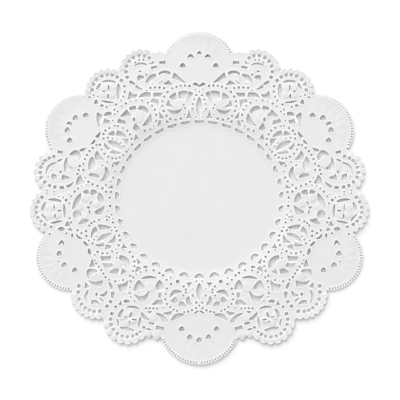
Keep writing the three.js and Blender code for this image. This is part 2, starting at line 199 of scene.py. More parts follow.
SIDE_SCROLL_RING: Rows = (
    (75.6, 35, 73.7, 28.3, 0, 6.1, 1.2, -0.5, 0, -1.5),
    (79.6, 30.6, 79.7, 21.2, 0, 4.6, 1.3, 1.5),
    (73.8, 15.1, 81.6, 17.4, 0.4, 1.6, 1.3, 0.5),
    (69.3, 22.8, 73.8, 12.3, 1.5, 0, -1.4, 4.9),
    (88.1, 17.1, 88.1, 10.2, 0, 6.3, 1.2, -0.3, 0, 1.6),
    (64.4, 8.3, 68.7, 7.3, 3, 0, -0.6, -0.2),
)

SIDE_SCROLL_MEDALLION: Rows = (
    (96.8, 14.7, 101.9, 15.2, 1.2, 4.3, -0.2, 0, -1.2, -0.3),
    (107.1, 13.3, 107.7, 17.4, 3.6, 3, -0.3, 0.7, 0, -1.3),
    (101.5, 33.6, 105, 34.2, 1.8, 2.5, -0.4, -0.3),
    (106, 26.2, 113.9, 17.8, 0.4, 0.4, 2.8, -1.4),
    (93, 12.2, 98.2, 8, 0, 2.1, -0.3, 0.6),
    (100.4, 7.5, 103.4, 7.5, 2, 1.9, 0, 0),
)

FLOWER_RING: Rows = (
    (76.4, 3.1, 80.5, 3.9, 1.9, 4, 0.9, 0, -1.4, 0),
    (82, 4.5, 85.6, 3.6, 3, 2, 0.5, 0, 0, 1),
    (87.8, 3.7, 94.2, -8.6, 0, 0, 1.6, 2.5),
    (74.1, 4, 71.6, -3.3, 0, 2.8, 2.2, 0.9),
    (73.9, -7.9, 73.6, -12.5, 8, 3.3, 0.4, 0, 4.2, 0),
    (91.4, -8.8, 91.6, -16, 0, 0, 2.2, 4.1),
    (83.6, -17.9, 88.3, -17.3, 3.2, 4.9, -0.2, 0.3, -3.5, -2.9),
    (97.7, -17.1, 97.8, -21, 0, 4.3, 0, 0),
    (95.4, -21.9, 96.1, -24.3, 0, 4, 0, 0),
    (94.4, -26.6, 94.2, -29.2, 1, 1.3, 0, 0),
    (97.9, -26.1, 99.2, -26.8, 0.7, 1.2, 0, 0),
    (91.1, -27, 86.8, -30.4, 0.3, 0.3, 1.5, -0.4),
)

SIDE_ROSETTE_MEDALLION: Rows = (
    (102.1, -2.8, 112.2, -1.3, 0.4, 0, 1.3, 0.5),
    (114, -3.1, 116.4, -9.3, 0, 2.4, 0.7, 0.1),
    (117.5, -12, 112.4, -17.9, 0, 0, 0.3, 0.9),
    (101.7, -16.9, 110.7, -18.9, 0, 0, 0.5, 0.9),
    (100.6, -4.4, 100.1, -14.9, 0, 0, 0.5, 1.3),
    (99.7, -23.3, 104.8, -22.9, 0, 0, 1.3, 1.9),
)

LOWER_CROSSED_RING: Rows = (
    (65.2, -22.3, 74.5, -22, 0, 3.6, 0.9, 0.3, 0, 1.8),
    (75.9, -23, 79.9, -30.6, 3.4, 0, 1.6, -1.2, -2.1, 0),
    (64.7, -26.2, 76.2, -32.1, 0, 0, 2.2, 1.2),
    (62.4, -27.3, 65.5, -33.4, 0, 5.3, -0.8, 0.2, 0, 2.6),
    (64.9, -36, 69.7, -36.5, 0, 3.8, 0.2, 0.5, 0, -1.4),
    (70.7, -34.5, 77.4, -34.8, 2.7, 0, -0.4, 0.9),
    (85.9, -32.4, 82.2, -35.9, 0.2, 0.2, 1, 0.5),
    (81.9, -37.6, 80.3, -42.6, 0.2, 0, 1.5, 0.7),
    (56.1, -33.5, 55.8, -37.3, 0, 5.1, -0.6, -0.8),
)

LOWER_SCROLL_RING: Rows = (
    (53.4, -51.6, 59.2, -44, 2, 2.2, 3.1, -1, -3.6, 1.7),
    (65.8, -44.9, 72.9, -45, 4.1, 3.7, -0.6, 0, -0.9, 0.9),
    (64.6, -49.7, 70.8, -50.4, 2.7, 4.3, -0.3, 0, 0.8, 1.9),
    (60, -55.2, 66.8, -55.4, 3.2, 0, 1.6, 0.2, -1.2, 0),
    (53.5, -54.9, 57.6, -54.8, 0, 5.1, -0.3, -0.2, 0, -1.5),
    (79.4, -45.4, 79.4, -51.2, 0, 4.1, 0, 0),
    (46.7, -44.9, 44.6, -48.9, 0, 3.1, -0.4, 0),
)

LOWER_SCROLL_MEDALLION: Rows = (
    (76.2, -54, 82.3, -59.8, 2.6, 0.4, 4.1, -1.3),
    (71.9, -63.4, 82.3, -61.2, 4.4, 0, -1.4, 2, 0.5, 0),
    (84.4, -62.9, 83.4, -66.6, 0, 3.7, 0, 0),
    (82.4, -68.6, 82, -78.6, 0.3, 0, 3, -1),
    (68.7, -69.2, 73.6, -72.5, 0.7, 1, -0.9, 2.1),
    (73.8, -74.2, 71, -76.9, 0.6, 0.9, 0.4, -0.2),
    (73.8, -79.2, 80, -77.6, 0.4, 2.8, 1.3, -0.6),
    (64.2, -69.9, 64.3, -74.6, 2.4, 1.8, 0, 0),
    (67, -62.6, 64.8, -67.5, 0.2, 1.4, 0.3, 0.6),
    (53.4, -65.3, 59.7, -67.2, 7.6, 5.8, -1.1, -0.4, -3.8, 0.2),
    (58.5, -75.7, 58.8, -79.4, 0, 3.6, -0.8, -0.3),
    (51.2, -77.3, 55.8, -77, 0, 2, 0.9, 0.2),
)

LOWER_RING: Rows = (
    (31.2, -59.8, 43.5, -60.4, 0, 0, 2.1, -0.4),
    (45, -61.1, 44.5, -68.3, 0, 8.5, 0.8, 0.9, 0, 0.8),
    (37.3, -69.4, 48.4, -71.2, 0.6, 0, -3, 7.2),
    (29.4, -60.9, 28.8, -68.2, 0, 5.4, 1.4, 0.8),
    (28.9, -70.3, 29.3, -74.1, 2, 2.2, 0, 0),
    (29.6, -75.6, 30.9, -79.3, 3.3, 8.4, 0, 0, 1.6, 3.1),
    (45.7, -51.1, 45.2, -54.2, 1.7, 5.5, 0, -0.3, 0.7, 2.7),
)

LOWER_TWIN_RING: Rows = (
    (12.2, -70.2, 22, -74.2, 0, 0, 4, -1),
    (16.6, -74.9, 19.8, -77.5, 3.7, 3.7, 0, 0, -1, 0.3),
    (13.5, -77.1, 12.3, -80.6, 2.8, 6, 0, 0, -1.4, -2.3),
    (7.6, -72.8, 6.7, -79.5, 0, 3.5, 1.7, -0.5),
    (7.5, -63.1, 7.5, -67.9, 4.2, 0, -0.7, -0.6, 0.3, 0),
)

LOWER_BORDER: Rows = (
    (10.9, -86.7, 20.7, -90.9, 0, 1.1, 2.6, 0.2),
    (21.1, -86, 26.9, -85.6, 3.8, 0, 0, 0, -2.2, 0),
    (24.9, -92.6, 32.4, -85.9, 2.7, 0.3, 2.1, -1, -2.7, 0),
    (37.5, -90.6, 42.9, -84.8, 1.6, 0, -0.2, 1.8),
    (36.8, -85.9, 36.8, -84.3, 0, 3.6, 0, 0),
    (26.6, -97.7, 31.9, -96.2, 2.8, 3.1, -0.2, -0.4),
)

LOWER_ROSETTE_MEDALLION: Rows = (
    (44.2, -82.9, 54.3, -81.4, 0, 0, 1.8, -0.5),
    (56.3, -82.3, 59.2, -88.8, 0, 3, 0.7, 0),
    (61.2, -89.6, 60.2, -95.6, 0, 0, 0.2, 1),
    (48, -98.5, 59.2, -96.2, 0, 0, 1, 2.1),
    (43.7, -88.1, 45.6, -96.6, 0, 0, 0.4, 1.4),
)

RIGHT_OPENINGS: tuple[Rows, ...] = (
    FLAP_HOLES, UPPER_TWIN_RING, UPPER_BORDER, UPPER_SCROLL_MEDALLION, UPPER_ROSETTE_MEDALLION,
    UPPER_BAND, UPPER_SCROLL_RING, UPPER_LOBE_FOOT, UPPER_CROSSED_RING, SIDE_SCROLL_RING,
    SIDE_SCROLL_MEDALLION, FLOWER_RING, SIDE_ROSETTE_MEDALLION, LOWER_CROSSED_RING,
    LOWER_SCROLL_RING, LOWER_SCROLL_MEDALLION, LOWER_RING, LOWER_TWIN_RING, LOWER_BORDER,
    LOWER_ROSETTE_MEDALLION,
)

# Narrow slits between petals and in corners: from x, y, to x, y, width
SLITS: Rows = (
    (67.2, 83.6, 67.2, 80.4, 1.2), (67.6, 77, 67.6, 73.6, 1.2),
    (69.9, 78.8, 71.9, 79.1, 0.9), (27.4, 87, 28.2, 85.8, 0.7), (28.8, 85.4, 30, 84.9, 0.7),
    (107.6, -5, 107.6, -8.4, 1), (107.1, -12, 107.1, -15, 1.1),
    (102.3, -9.7, 105.1, -9.7, 1.1), (62.2, 66.3, 63.6, 64.3, 1),
    (50.2, -85.2, 51.6, -88.5, 1.3), (46.8, -90.7, 49.8, -90.2, 1.2),
    (51.8, -91.6, 52, -92.6, 1.2), (53.5, -88.9, 55.9, -88, 1),
    (79.7, -2.5, 81.2, -5.2, 1.1), (81.6, -9.3, 81.2, -11.8, 1.4),
    (0.6, -84, 3.6, -85.8, 1.2), (23, 56.3, 24.6, 56.7, 1.6), (34, 101, 35.6, 99.4, 1.3),
    (33.8, -93.8, 37.4, -92.8, 1.8), (36, -98.1, 39.3, -97.3, 1.4),
    (102.2, 28.4, 105.1, 27.2, 1.6), (48.3, 84.2, 51.4, 86.2, 2.4),
)

# Square holes round the medallions: middle x, y, radius of the ring, size, and the holes'
# angles in degrees. A ring of no radius is one hole on its own
SQUARE_RINGS: RingRows = (
    (43, 94, 11.4, 2.1, (121, 102, 81.5, 59.5, 39, 18.6, -2.6, -23.5)),
    (67.3, 79, 12.3, 2.1, (140, 121, 102.8, 85, 65.5, 43.7, 24.3, 4.7)),
    (106.3, 18.9, 11.7, 2.1, (81.5, 64, 47, 33, 18, -1.4, -19)),
    (106.3, 18.9, 11.1, 2.1, (-41, -64, -85)), (16, -62.3, 0, 2.2, (0,)),
    (108, -9.5, 13, 2.1, (48, 28.7, 10.4, -6.6, -24)), (108, -9.5, 12.5, 2.1, (-40.5, -58)),
    (76.5, -71.5, 13.3, 2.2, (5, -18, -36, -52.5, -68, -83, -102)),
    (76.5, -71.5, 12.1, 2, (-131, -152)),
    (53.2, -91, 12.6, 2.1, (22, 3, -15.3, -34, -53, -71.4, -89.6, -108, -123)),
)

# Runs of pinholes: from x, y, to x, y, bow to the left, how many, size
PIN_RUNS: Rows = (
    (7.3, 83, 20, 81.2, 1, 5, 1.5), (23.5, 78.5, 24.3, 60.8, 3.6, 6, 1.5),
    (21.5, 58.6, 13.7, 58.8, 0.8, 3, 1.5), (2.1, 76.1, 5.1, 66, 0.7, 4, 1.4),
    (26, 81.4, 36.3, 81.6, 0.4, 4, 1.5), (31.9, 57, 42.4, 72, 4.2, 6, 1.5),
    (47, 72.3, 54.5, 69.9, 0.4, 3, 1.5), (36.4, 50.7, 40.4, 49.7, 0, 2, 1.5),
    (50, 39.5, 60.3, 53.1, 3.6, 6, 1.5), (66.8, 51.7, 71, 43.9, 1.8, 4, 1.5),
    (56, 38.1, 67.8, 44.4, 1.6, 5, 1.4), (54, 34.2, 70.3, 32.6, -4.3, 7, 1.5),
    (76.3, 39.1, 84.8, 28.7, 1.1, 5, 1.5), (86, 25.2, 86, 20.6, 0, 2, 1.5),
    (88.6, 23.5, 90.4, 17.7, 0, 3, 1.5), (69.1, 9.4, 75.5, 8.8, 0, 2, 1.5),
    (79.2, 10, 82.2, 11.8, 0, 2, 1.5),
    (87.3, 8.8, 92.4, 4.6, 0.2, 3, 1.5), (65.6, 4.2, 69.1, 4.5, 0, 2, 1.5),
    (96.3, -15.2, 95.1, -18.3, 0, 2, 1.5), (66.5, 0.1, 66.1, -6.1, 0, 2, 1.5),
    (67, -14.4, 69, -13.9, 0, 2, 1.2), (68.4, -16.4, 74.4, -16.3, 0, 2, 1.4),
    (77.9, -17.6, 81.7, -20.6, 0.3, 3, 1.4), (84, -24.8, 83.8, -28.3, 0, 2, 1.5),
    (87.4, -26.3, 90.2, -24.2, 0, 2, 1.4), (61.4, -24.8, 59.8, -35.3, -1.6, 4, 1.5),
    (65, -24.2, 70.2, -24.9, 0.2, 3, 1.5), (64.7, -39.8, 75.4, -40.2, -1.4, 4, 1.5),
    (76.2, -28.7, 79.2, -33.9, 0.4, 3, 1.4), (51.5, -40.4, 51.3, -57.9, -3.4, 6, 1.5),
    (56.4, -61, 62.3, -62, 0, 2, 1.4), (76.4, -48.8, 69.5, -58.9, -0.2, 5, 1.5),
    (33.9, -53.9, 39.3, -53.9, 0, 2, 1.5), (43.6, -55.3, 50.9, -62, 1, 4, 1.5),
    (29.6, -55.9, 27, -57.6, 0, 2, 1.5),
    (24.1, -67.5, 25.2, -75.4, 0.3, 3, 1.5), (23.9, -78.8, 2.4, -82, 4.5, 9, 1.4),
    (2.2, -77.9, 4.8, -72.6, 0, 2, 1.5), (11.6, -65.9, 11.7, -72.5, -2, 4, 1.4),
    (31.3, -82.3, 39.5, -82.1, 0.1, 4, 1.4), (41.5, 102.5, 44.5, 102.3, 0, 2, 1.4),
    (55.6, 82.8, 55.4, 78.7, 0, 2, 1.5), (56.3, 75, 58, 72.2, 0, 2, 1.4),
    (11.6, 69, 10.5, 66.5, 0, 2, 1.3),
)

# Single small holes: x, y, width, height
PINHOLES: Rows = (
    (39.2, 79.7, 1.4, 1.2), (34.8, 84.4, 1.3, 1.3), (47.6, 100.5, 1.8, 1.6),
    (36.9, 99.7, 1.2, 1.2), (39.3, 91.5, 1.6, 1.6), (2.6, 80.5, 1.7, 1.1),
    (43.9, 93.9, 2.1, 1.3), (10.9, 61.9, 1.3, 1.2), (2.4, 60, 1.5, 1.3),
    (75.3, 75.3, 1.1, 1.4), (52.5, 35.8, 1.7, 1.2), (61.4, 43.4, 1.6, 1.2),
    (62.8, 53.4, 2, 1.3), (72.5, 35.7, 1.9, 1.5), (73.8, 39.3, 2, 2),
    (63.8, 14.9, 2, 1.8), (65.7, 12, 1.9, 1.9), (62.5, -22, 1.6, 1.5),
    (64.1, -18.4, 1.9, 1.5), (64.2, -15.6, 1, 1.4), (67.9, -9.8, 1.3, 1.2),
    (66.4, -3, 1, 1), (96.8, 2.4, 1, 1), (104.2, 0.9, 1.3, 1.1),
    (107.7, 2.3, 1.2, 1), (113.1, 5.5, 1.9, 1), (110.1, 20.6, 1, 1.4),
    (77.4, -46.4, 1.9, 1.1), (104.7, -47.3, 1.4, 1), (111.1, -27, 1.7, 1.5),
    (66.9, -60.9, 1.6, 1.6), (59.5, -61.5, 1, 1), (5, -67.3, 1.2, 0.8),
    (89.4, -65.6, 2.7, 2.9), (71.8, 7, 1.9, 2.1),
    (78.6, 76.3, 1.5, 1.5), (81.5, 74.7, 2.3, 1.3), (61.8, 69.2, 2, 2),
    (57.6, 67.9, 1.4, 1.4), (68.8, 67.5, 1.7, 1.6), (72.3, 68.4, 2.6, 2),
    (103, 19.2, 2, 1.9), (112.2, 16, 1.2, 1.2), (107.7, 4.4, 1.7, 1.2),
    (113.1, 3.4, 1.2, 1.2), (101.1, 0.2, 1.4, 1.4), (98.8, -1.8, 2.2, 2.3),
    (60.8, 64, 1.5, 1.5), (62.9, 62, 1.5, 1.5), (64.1, 57.3, 1.4, 1.4),
    (48.4, 58, 2, 3.2), (33.8, 53, 1.5, 1.5), (64.1, 23.8, 1.9, 1.9),
    (68.2, 26.5, 1.5, 1.5), (71.9, 24, 1.7, 1.7), (62.6, 19.5, 1.4, 1.4),
    (83.7, 9.4, 1.4, 1.4), (84.8, 15, 1.4, 1.4),
    (95.2, 1.1, 1.5, 1.5), (96.3, -4.2, 1.6, 1.6), (82.3, -7.2, 2.6, 2),
    (65, -12.7, 1.4, 1.4), (82, -31.8, 1.5, 1.5), (77.6, -42.4, 1.5, 1.5),
    (56.3, -38.7, 1.5, 1.5), (61, -41, 1.5, 1.5), (61.9, -38.3, 1.4, 1.4),
    (61.3, -44.9, 1.5, 1.5), (62.1, -80.9, 2, 2), (76.2, -71.7, 2, 2.6),
    (51.4, -66.3, 1.6, 1.6), (51.6, -70.8, 2, 2), (51, -73.5, 1.5, 1.5),
    (48, -76.7, 1.5, 1.5), (21.3, -59.5, 1.5, 1.5), (24.2, -61, 2, 1.4),
    (39.9, -51.4, 3.4, 2), (26.5, -81.6, 1.4, 1.4), (2.1, -62, 1.5, 1.5),
    (21, -64, 2, 1.8), (41.1, -96.3, 2.2, 2.2),
    (43.8, -99.6, 2.4, 1.5), (110, -21.6, 2.2, 1.8),
)

# Small holes on the middle line: x, y, width, height
MIDDLE_PINHOLES: Rows = ((0, 78.6, 1.5, 1.5), (0, 58.7, 1.5, 1), (0, -80, 1.6, 1.6))

# Plain lobes: middle x, y, edge radius, direction of the fan pressed into them, and the
# angles where the toothed row starts and ends, in degrees
LOBES: Rows = (
    (0, 96.6, 27.2, 90, 89, 26),
    (88.2, 50.3, 26.5, 30, 95, -31),
    (96.3, -43.8, 25, -27, 40, -91),
    (0, -93.7, 30.2, -90, -22, -89),
)

# Leaves of the fan, from its axis: turn in degrees, start and end radius, spread
FAN_LEAVES: Rows = ((0, 13.5, 22.5, 1.3), (18, 12.5, 19, 1.2), (39, 14, 19.5, 1.1))

# Domed hubs, flower petals and knobs between the strands: x, y, radius, height
HUBS: Rows = (
    (15.5, 69.2, 4.4, 0.6), (45.5, 59.5, 4.6, 0.6), (74.3, 20.7, 3.7, 0.6), (61, -49, 4, 0.6),
    (14, -72.5, 3.5, 0.55), (36, -66, 4.4, 0.6), (39, 94, 4, 0.55), (102, 23, 3.8, 0.55),
    (92.1, 25.8, 4.2, 0.6), (75.5, -58.3, 3.6, 0.6), (28, 88.5, 3.5, 0.55),
    (35, -89, 3.5, 0.55), (84, -0.2, 3.2, 0.85), (89.4, -6.7, 3.2, 0.85),
    (85.4, -14.4, 3, 0.85), (76, -4.6, 3, 0.85), (31.7, -101.8, 2.9, 0.85),
    (37.7, -100.8, 2.4, 0.75), (113, 30.4, 3, 0.7),
)

# Four-petalled rosettes: middle x, y, petal distance, petal radius, turn in degrees
ROSETTES: Rows = (
    (67.5, 79.2, 3.8, 3, 45), (108.2, -10, 3.9, 3.1, 45), (52.6, -89.5, 3.9, 3, 22),
)


def point_at(x: float, y: float, radius: float, degrees: float) -> np.ndarray:
    """The point at a radius and an angle in degrees about a middle."""
    angle = math.radians(degrees)
    return np.array([x + radius * math.cos(angle), y + radius * math.sin(angle)])


def bowed_side(
    start: np.ndarray, end: np.ndarray, bulge: float, spacing: float,
) -> list[np.ndarray]:
    """Points of a side that bulges to the left of its travel, without its last point.

    Args:
        start: The side's first point.
        end: The side's last point.
        bulge: How far its middle stands off the straight line, to the left.
        spacing: About how far apart the points are.

    Returns:
        The points from start on, or nothing for a side of no length.
    """
    along = end - start
    chord = float(np.hypot(*along))
    if chord < NO_LENGTH:
        return []
    length = chord + PARABOLA_EXCESS * bulge * bulge / chord
    steps = max(1, round(length / spacing))
    left = np.array([-along[1], along[0]]) / chord
    control = (start + end) / 2 + 2 * bulge * left
    shares = [index / steps for index in range(steps)]
    return [(1 - t) ** 2 * start + 2 * t * (1 - t) * control + t * t * end for t in shares]


def mirrored(outline: np.ndarray) -> np.ndarray:
    """The same outline on the other side of the middle line, its turning sense kept."""
    return (outline * np.array([-1.0, 1.0]))[::-1]


def signed_area(outline: np.ndarray) -> float:
    """The area inside an outline, above zero where it runs anticlockwise."""
    x, y = outline[:, 0], outline[:, 1]
    return float(np.dot(x, np.roll(y, -1)) - np.dot(y, np.roll(x, -1))) / 2


def leftwards(outline: np.ndarray) -> np.ndarray:
    """The direction to the left of travel along a closed outline.

    Args:
        outline: The outline's points in order.

    Returns:
        A vector of length one for each point.
    """
    ahead = np.roll(outline, -1, axis=0) - np.roll(outline, 1, axis=0)
    ahead /= np.maximum(np.hypot(ahead[:, 0], ahead[:, 1]), NO_LENGTH)[:, None]
    return np.stack([-ahead[:, 1], ahead[:, 0]], axis=1)


def widened(outline: np.ndarray, growth: float) -> np.ndarray:
    """A closed outline moved outwards all round, anticlockwise."""
    turned = outline if signed_area(outline) > 0 else outline[::-1]
    return turned - growth * leftwards(turned)


def resampled(outline: np.ndarray, spacing: float) -> np.ndarray:
    """A closed outline with points added between its own.

    Args:
        outline: The outline's points in order.
        spacing: The longest step that is left between two points.

    Returns:
        The outline's points with the added ones, in order.
    """
    points = []
    for start, end in zip(outline, np.roll(outline, -1, axis=0)):
        steps = max(1, math.ceil(float(np.hypot(*(end - start))) / spacing))
        points.extend(start + (end - start) * index / steps for index in range(steps))
    return np.array(points)


def eased(share: np.ndarray) -> np.ndarray:
    """A smooth step from 0 to 1 for shares that run from 0 to 1."""
    return share * share * (3 - 2 * share)


class HoleShape(Enum):
    """How square a small hole is, from 0 for round to 1 for square."""

    ROUND = 0.0
    PIN = 0.3
    TOOTH = 0.6
    SLIT = 0.7
    SQUARE = 0.9


@dataclass(frozen=True)
class SlotRing:
    """The ring of slots between the plain middle and the lace.

    The slots at the sides are shorter than those above and below, the lower ones are
    deeper than the upper ones, and all crowd a few degrees towards the top.
    """

    count: int = 36
    centre_y: float = -1.0
    radius_x: float = 61.0
    radius_y: float = 57.1
    slot_length: float = 6.8
    side_shortening: float = 1.8
    shortening_power: int = 4
    slot_depth: float = 2.85
    lower_deepening: float = 0.35
    end_depth: float = 1.0
    crowding: float = 2.5

    def outline(self, index: int, spacing: float) -> np.ndarray:
        """One slot: straight outside, bulging inwards.

        Args:
            index: Which slot, clockwise from the top.
            spacing: About how far apart the points are.

        Returns:
            The slot's closed outline.
        """
        even = index * 360 / self.count
        angle = math.radians(even - self.crowding * math.sin(math.radians(even)))
        centre = np.array([
            self.radius_x * math.sin(angle),
            self.centre_y + self.radius_y * math.cos(angle),
        ])
        along = np.array([self.radius_x * math.cos(angle), -self.radius_y * math.sin(angle)])
        along /= np.hypot(*along)
        outward = np.array([-along[1], along[0]])
        sideways = math.sin(angle) ** self.shortening_power
        length = self.slot_length - self.side_shortening * sideways
        depth = self.slot_depth - self.lower_deepening * math.cos(angle)
        outer = centre + outward * depth / 2
        start, end = outer - along * length / 2, outer + along * length / 2
        inner_start, inner_end = start - outward * self.end_depth, end - outward * self.end_depth
        return np.array([
            *bowed_side(start, end, 0, spacing),
            *bowed_side(end, inner_end, 0, spacing),
            *bowed_side(inner_end, inner_start, depth - self.end_depth, spacing),
            *bowed_side(inner_start, start, 0, spacing),
        ])

    def reach(self, points: np.ndarray) -> np.ndarray:
        """How far out each point lies, from 0 in the middle to 1 on the ring."""
        x, y = points[:, 0], points[:, 1]
        return np.hypot(x / self.radius_x, (y - self.centre_y) / self.radius_y)


@dataclass(frozen=True)
class Stroke:
    """An opening from one end to the other, with a width, bulge and slant."""

    from_x: float
    from_y: float
    to_x: float
    to_y: float
    start_width: float
    end_width: float
    left_bulge: float
    right_bulge: float
    start_slant: float = 0.0
    end_slant: float = 0.0

    def corners(self) -> list[np.ndarray]:
        """The opening's four corners.

        Returns:
            Its start on the left, its end on the left and on the right, its start on the right.
        """
        start = np.array([self.from_x, self.from_y], float)
        end = np.array([self.to_x, self.to_y], float)
        along = (end - start) / np.hypot(*(end - start))
        left = np.array([-along[1], along[0]])
        return [
            start + self.start_width / 2 * left + self.start_slant / 2 * along,
            end + self.end_width / 2 * left + self.end_slant / 2 * along,
            end - self.end_width / 2 * left - self.end_slant / 2 * along,
            start - self.start_width / 2 * left - self.start_slant / 2 * along,
        ]

    def outline(self, spacing: float) -> np.ndarray:
        """The opening's closed outline.

        Args:
            spacing: About how far apart the points are.

        Returns:
            The points in order, clockwise where the bulges don't cross.
        """
        start_left, end_left, end_right, start_right = self.corners()
        return np.array([
            *bowed_side(start_left, end_left, self.left_bulge, spacing),
            *bowed_side(end_left, end_right, 0, spacing),
            *bowed_side(end_right, start_right, self.right_bulge, spacing),
            *bowed_side(start_right, start_left, 0, spacing),
        ])


@dataclass(frozen=True)
class Punch:
    """A half-moon hole, arched above and shallow below."""

    x: float
    y: float
    width: float
    height: float
    rise: float = 0.18
    crown: float = 0.7

    def outline(self, spacing: float) -> np.ndarray:
        """The hole's closed outline.

        Args:
            spacing: About how far apart the points are.

        Returns:
            The points in order, along the arch and back below.
        """
        shoulder = self.y - self.height * self.rise
        left = np.array([self.x - self.width / 2, shoulder])
        right = np.array([self.x + self.width / 2, shoulder])
        return np.array([
            *bowed_side(left, right, self.height * self.crown, spacing),
            *bowed_side(right, left, self.height * (1 - self.crown), spacing),
        ])


@dataclass(frozen=True)
class BorderSection:
    """A stretch of the sheet's edge: a plain arc, or beads between cusps.

    The section runs from its start to its end angle about a middle. It touches the cusp
    radius between two beads and the crown radius at the top of each.
    """

    x: float
    y: float
    cusp: float
    crown: float
    start: float
    end: float
    beads: int
    arc_step: float = 8.0
    notch_width: float = 0.9
    notch_depth: float = 0.8

    def outline(self, spacing: float) -> list[np.ndarray]:
        """The section's points, clockwise. Several beads have a notch between each two.

        Args:
            spacing: About how far apart the points are.

        Returns:
            The points in order, with the last one.
        """
        pieces = self.beads or math.ceil(abs(self.end - self.start) / self.arc_step)
        turn = (self.end - self.start) / pieces
        gap = -math.degrees(self.notch_width / 2 / self.cusp) if self.beads > 1 else 0.0
        points: list[np.ndarray] = []
        for index in range(pieces):
            first = self.start + turn * index + (gap if index > 0 else 0.0)
            last = self.start + turn * (index + 1) - (gap if index < pieces - 1 else 0.0)
            depth = self.crown - self.cusp * math.cos(math.radians((last - first) / 2))
            start = point_at(self.x, self.y, self.cusp, first)
            end = point_at(self.x, self.y, self.cusp, last)
            points.extend(bowed_side(start, end, depth, spacing))
            if gap and index < pieces - 1:
                floor = self.cusp - self.notch_depth
                points.append(end)
                points.append(point_at(self.x, self.y, floor, last + gap / 2))
                points.append(point_at(self.x, self.y, floor, last + gap * 3 / 2))
        return [*points, point_at(self.x, self.y, self.cusp, self.end)]

    def bead_middles(self, inset: float) -> list[np.ndarray]:
        """The middles of the section's beads. A bead that stands alone isn't counted.

        Args:
            inset: How far inside the cusps the middles lie.

        Returns:
            The middles, clockwise, or nothing for a plain arc.
        """
        if self.beads < 2:
            return []
        turn = (self.end - self.start) / self.beads
        radius = self.cusp - inset
        return [
            point_at(self.x, self.y, radius, self.start + turn * (index + 0.5))
            for index in range(self.beads)
        ]


def border_sections() -> list[BorderSection]:
    """The sections of the edge's right half, clockwise from the top."""
    return [BorderSection(*values[:6], beads=int(values[6])) for values in BORDER]


@dataclass(frozen=True)
class Lobe:
    """A plain lobe, with a fan pressed into it and a toothed row inside its edge."""

    x: float
    y: float
    edge: float
    axis: float
    start: float
    end: float


@dataclass(frozen=True)
class Pinhole:
    """A small round, square or turned hole."""

    x: float
    y: float
    width: float
    height: float
    shape: HoleShape = HoleShape.ROUND
    turn: float = 0.0
    least_points: int = 8
    squaring: float = 0.55

    def outline(self, spacing: float) -> np.ndarray:
        """The hole's closed outline, rounder or squarer.

        Args:
            spacing: About how far apart the points are.

        Returns:
            The points, anticlockwise, as many in each quarter of the turn.
        """
        around = 2 * (self.width + self.height)
        count = max(self.least_points, 4 * round(around / spacing / 4))
        angles = np.arange(count) * 2 * math.pi / count
        power = 1 - self.squaring * self.shape.value
        across = np.sign(np.cos(angles)) * np.abs(np.cos(angles)) ** power
        up = np.sign(np.sin(angles)) * np.abs(np.sin(angles)) ** power
        local = np.stack([across * self.width / 2, up * self.height / 2], axis=1)
        cosine, sine = math.cos(math.radians(self.turn)), math.sin(math.radians(self.turn))
        turned = local @ np.array([[cosine, sine], [-sine, cosine]])
        return turned + np.array([self.x, self.y])


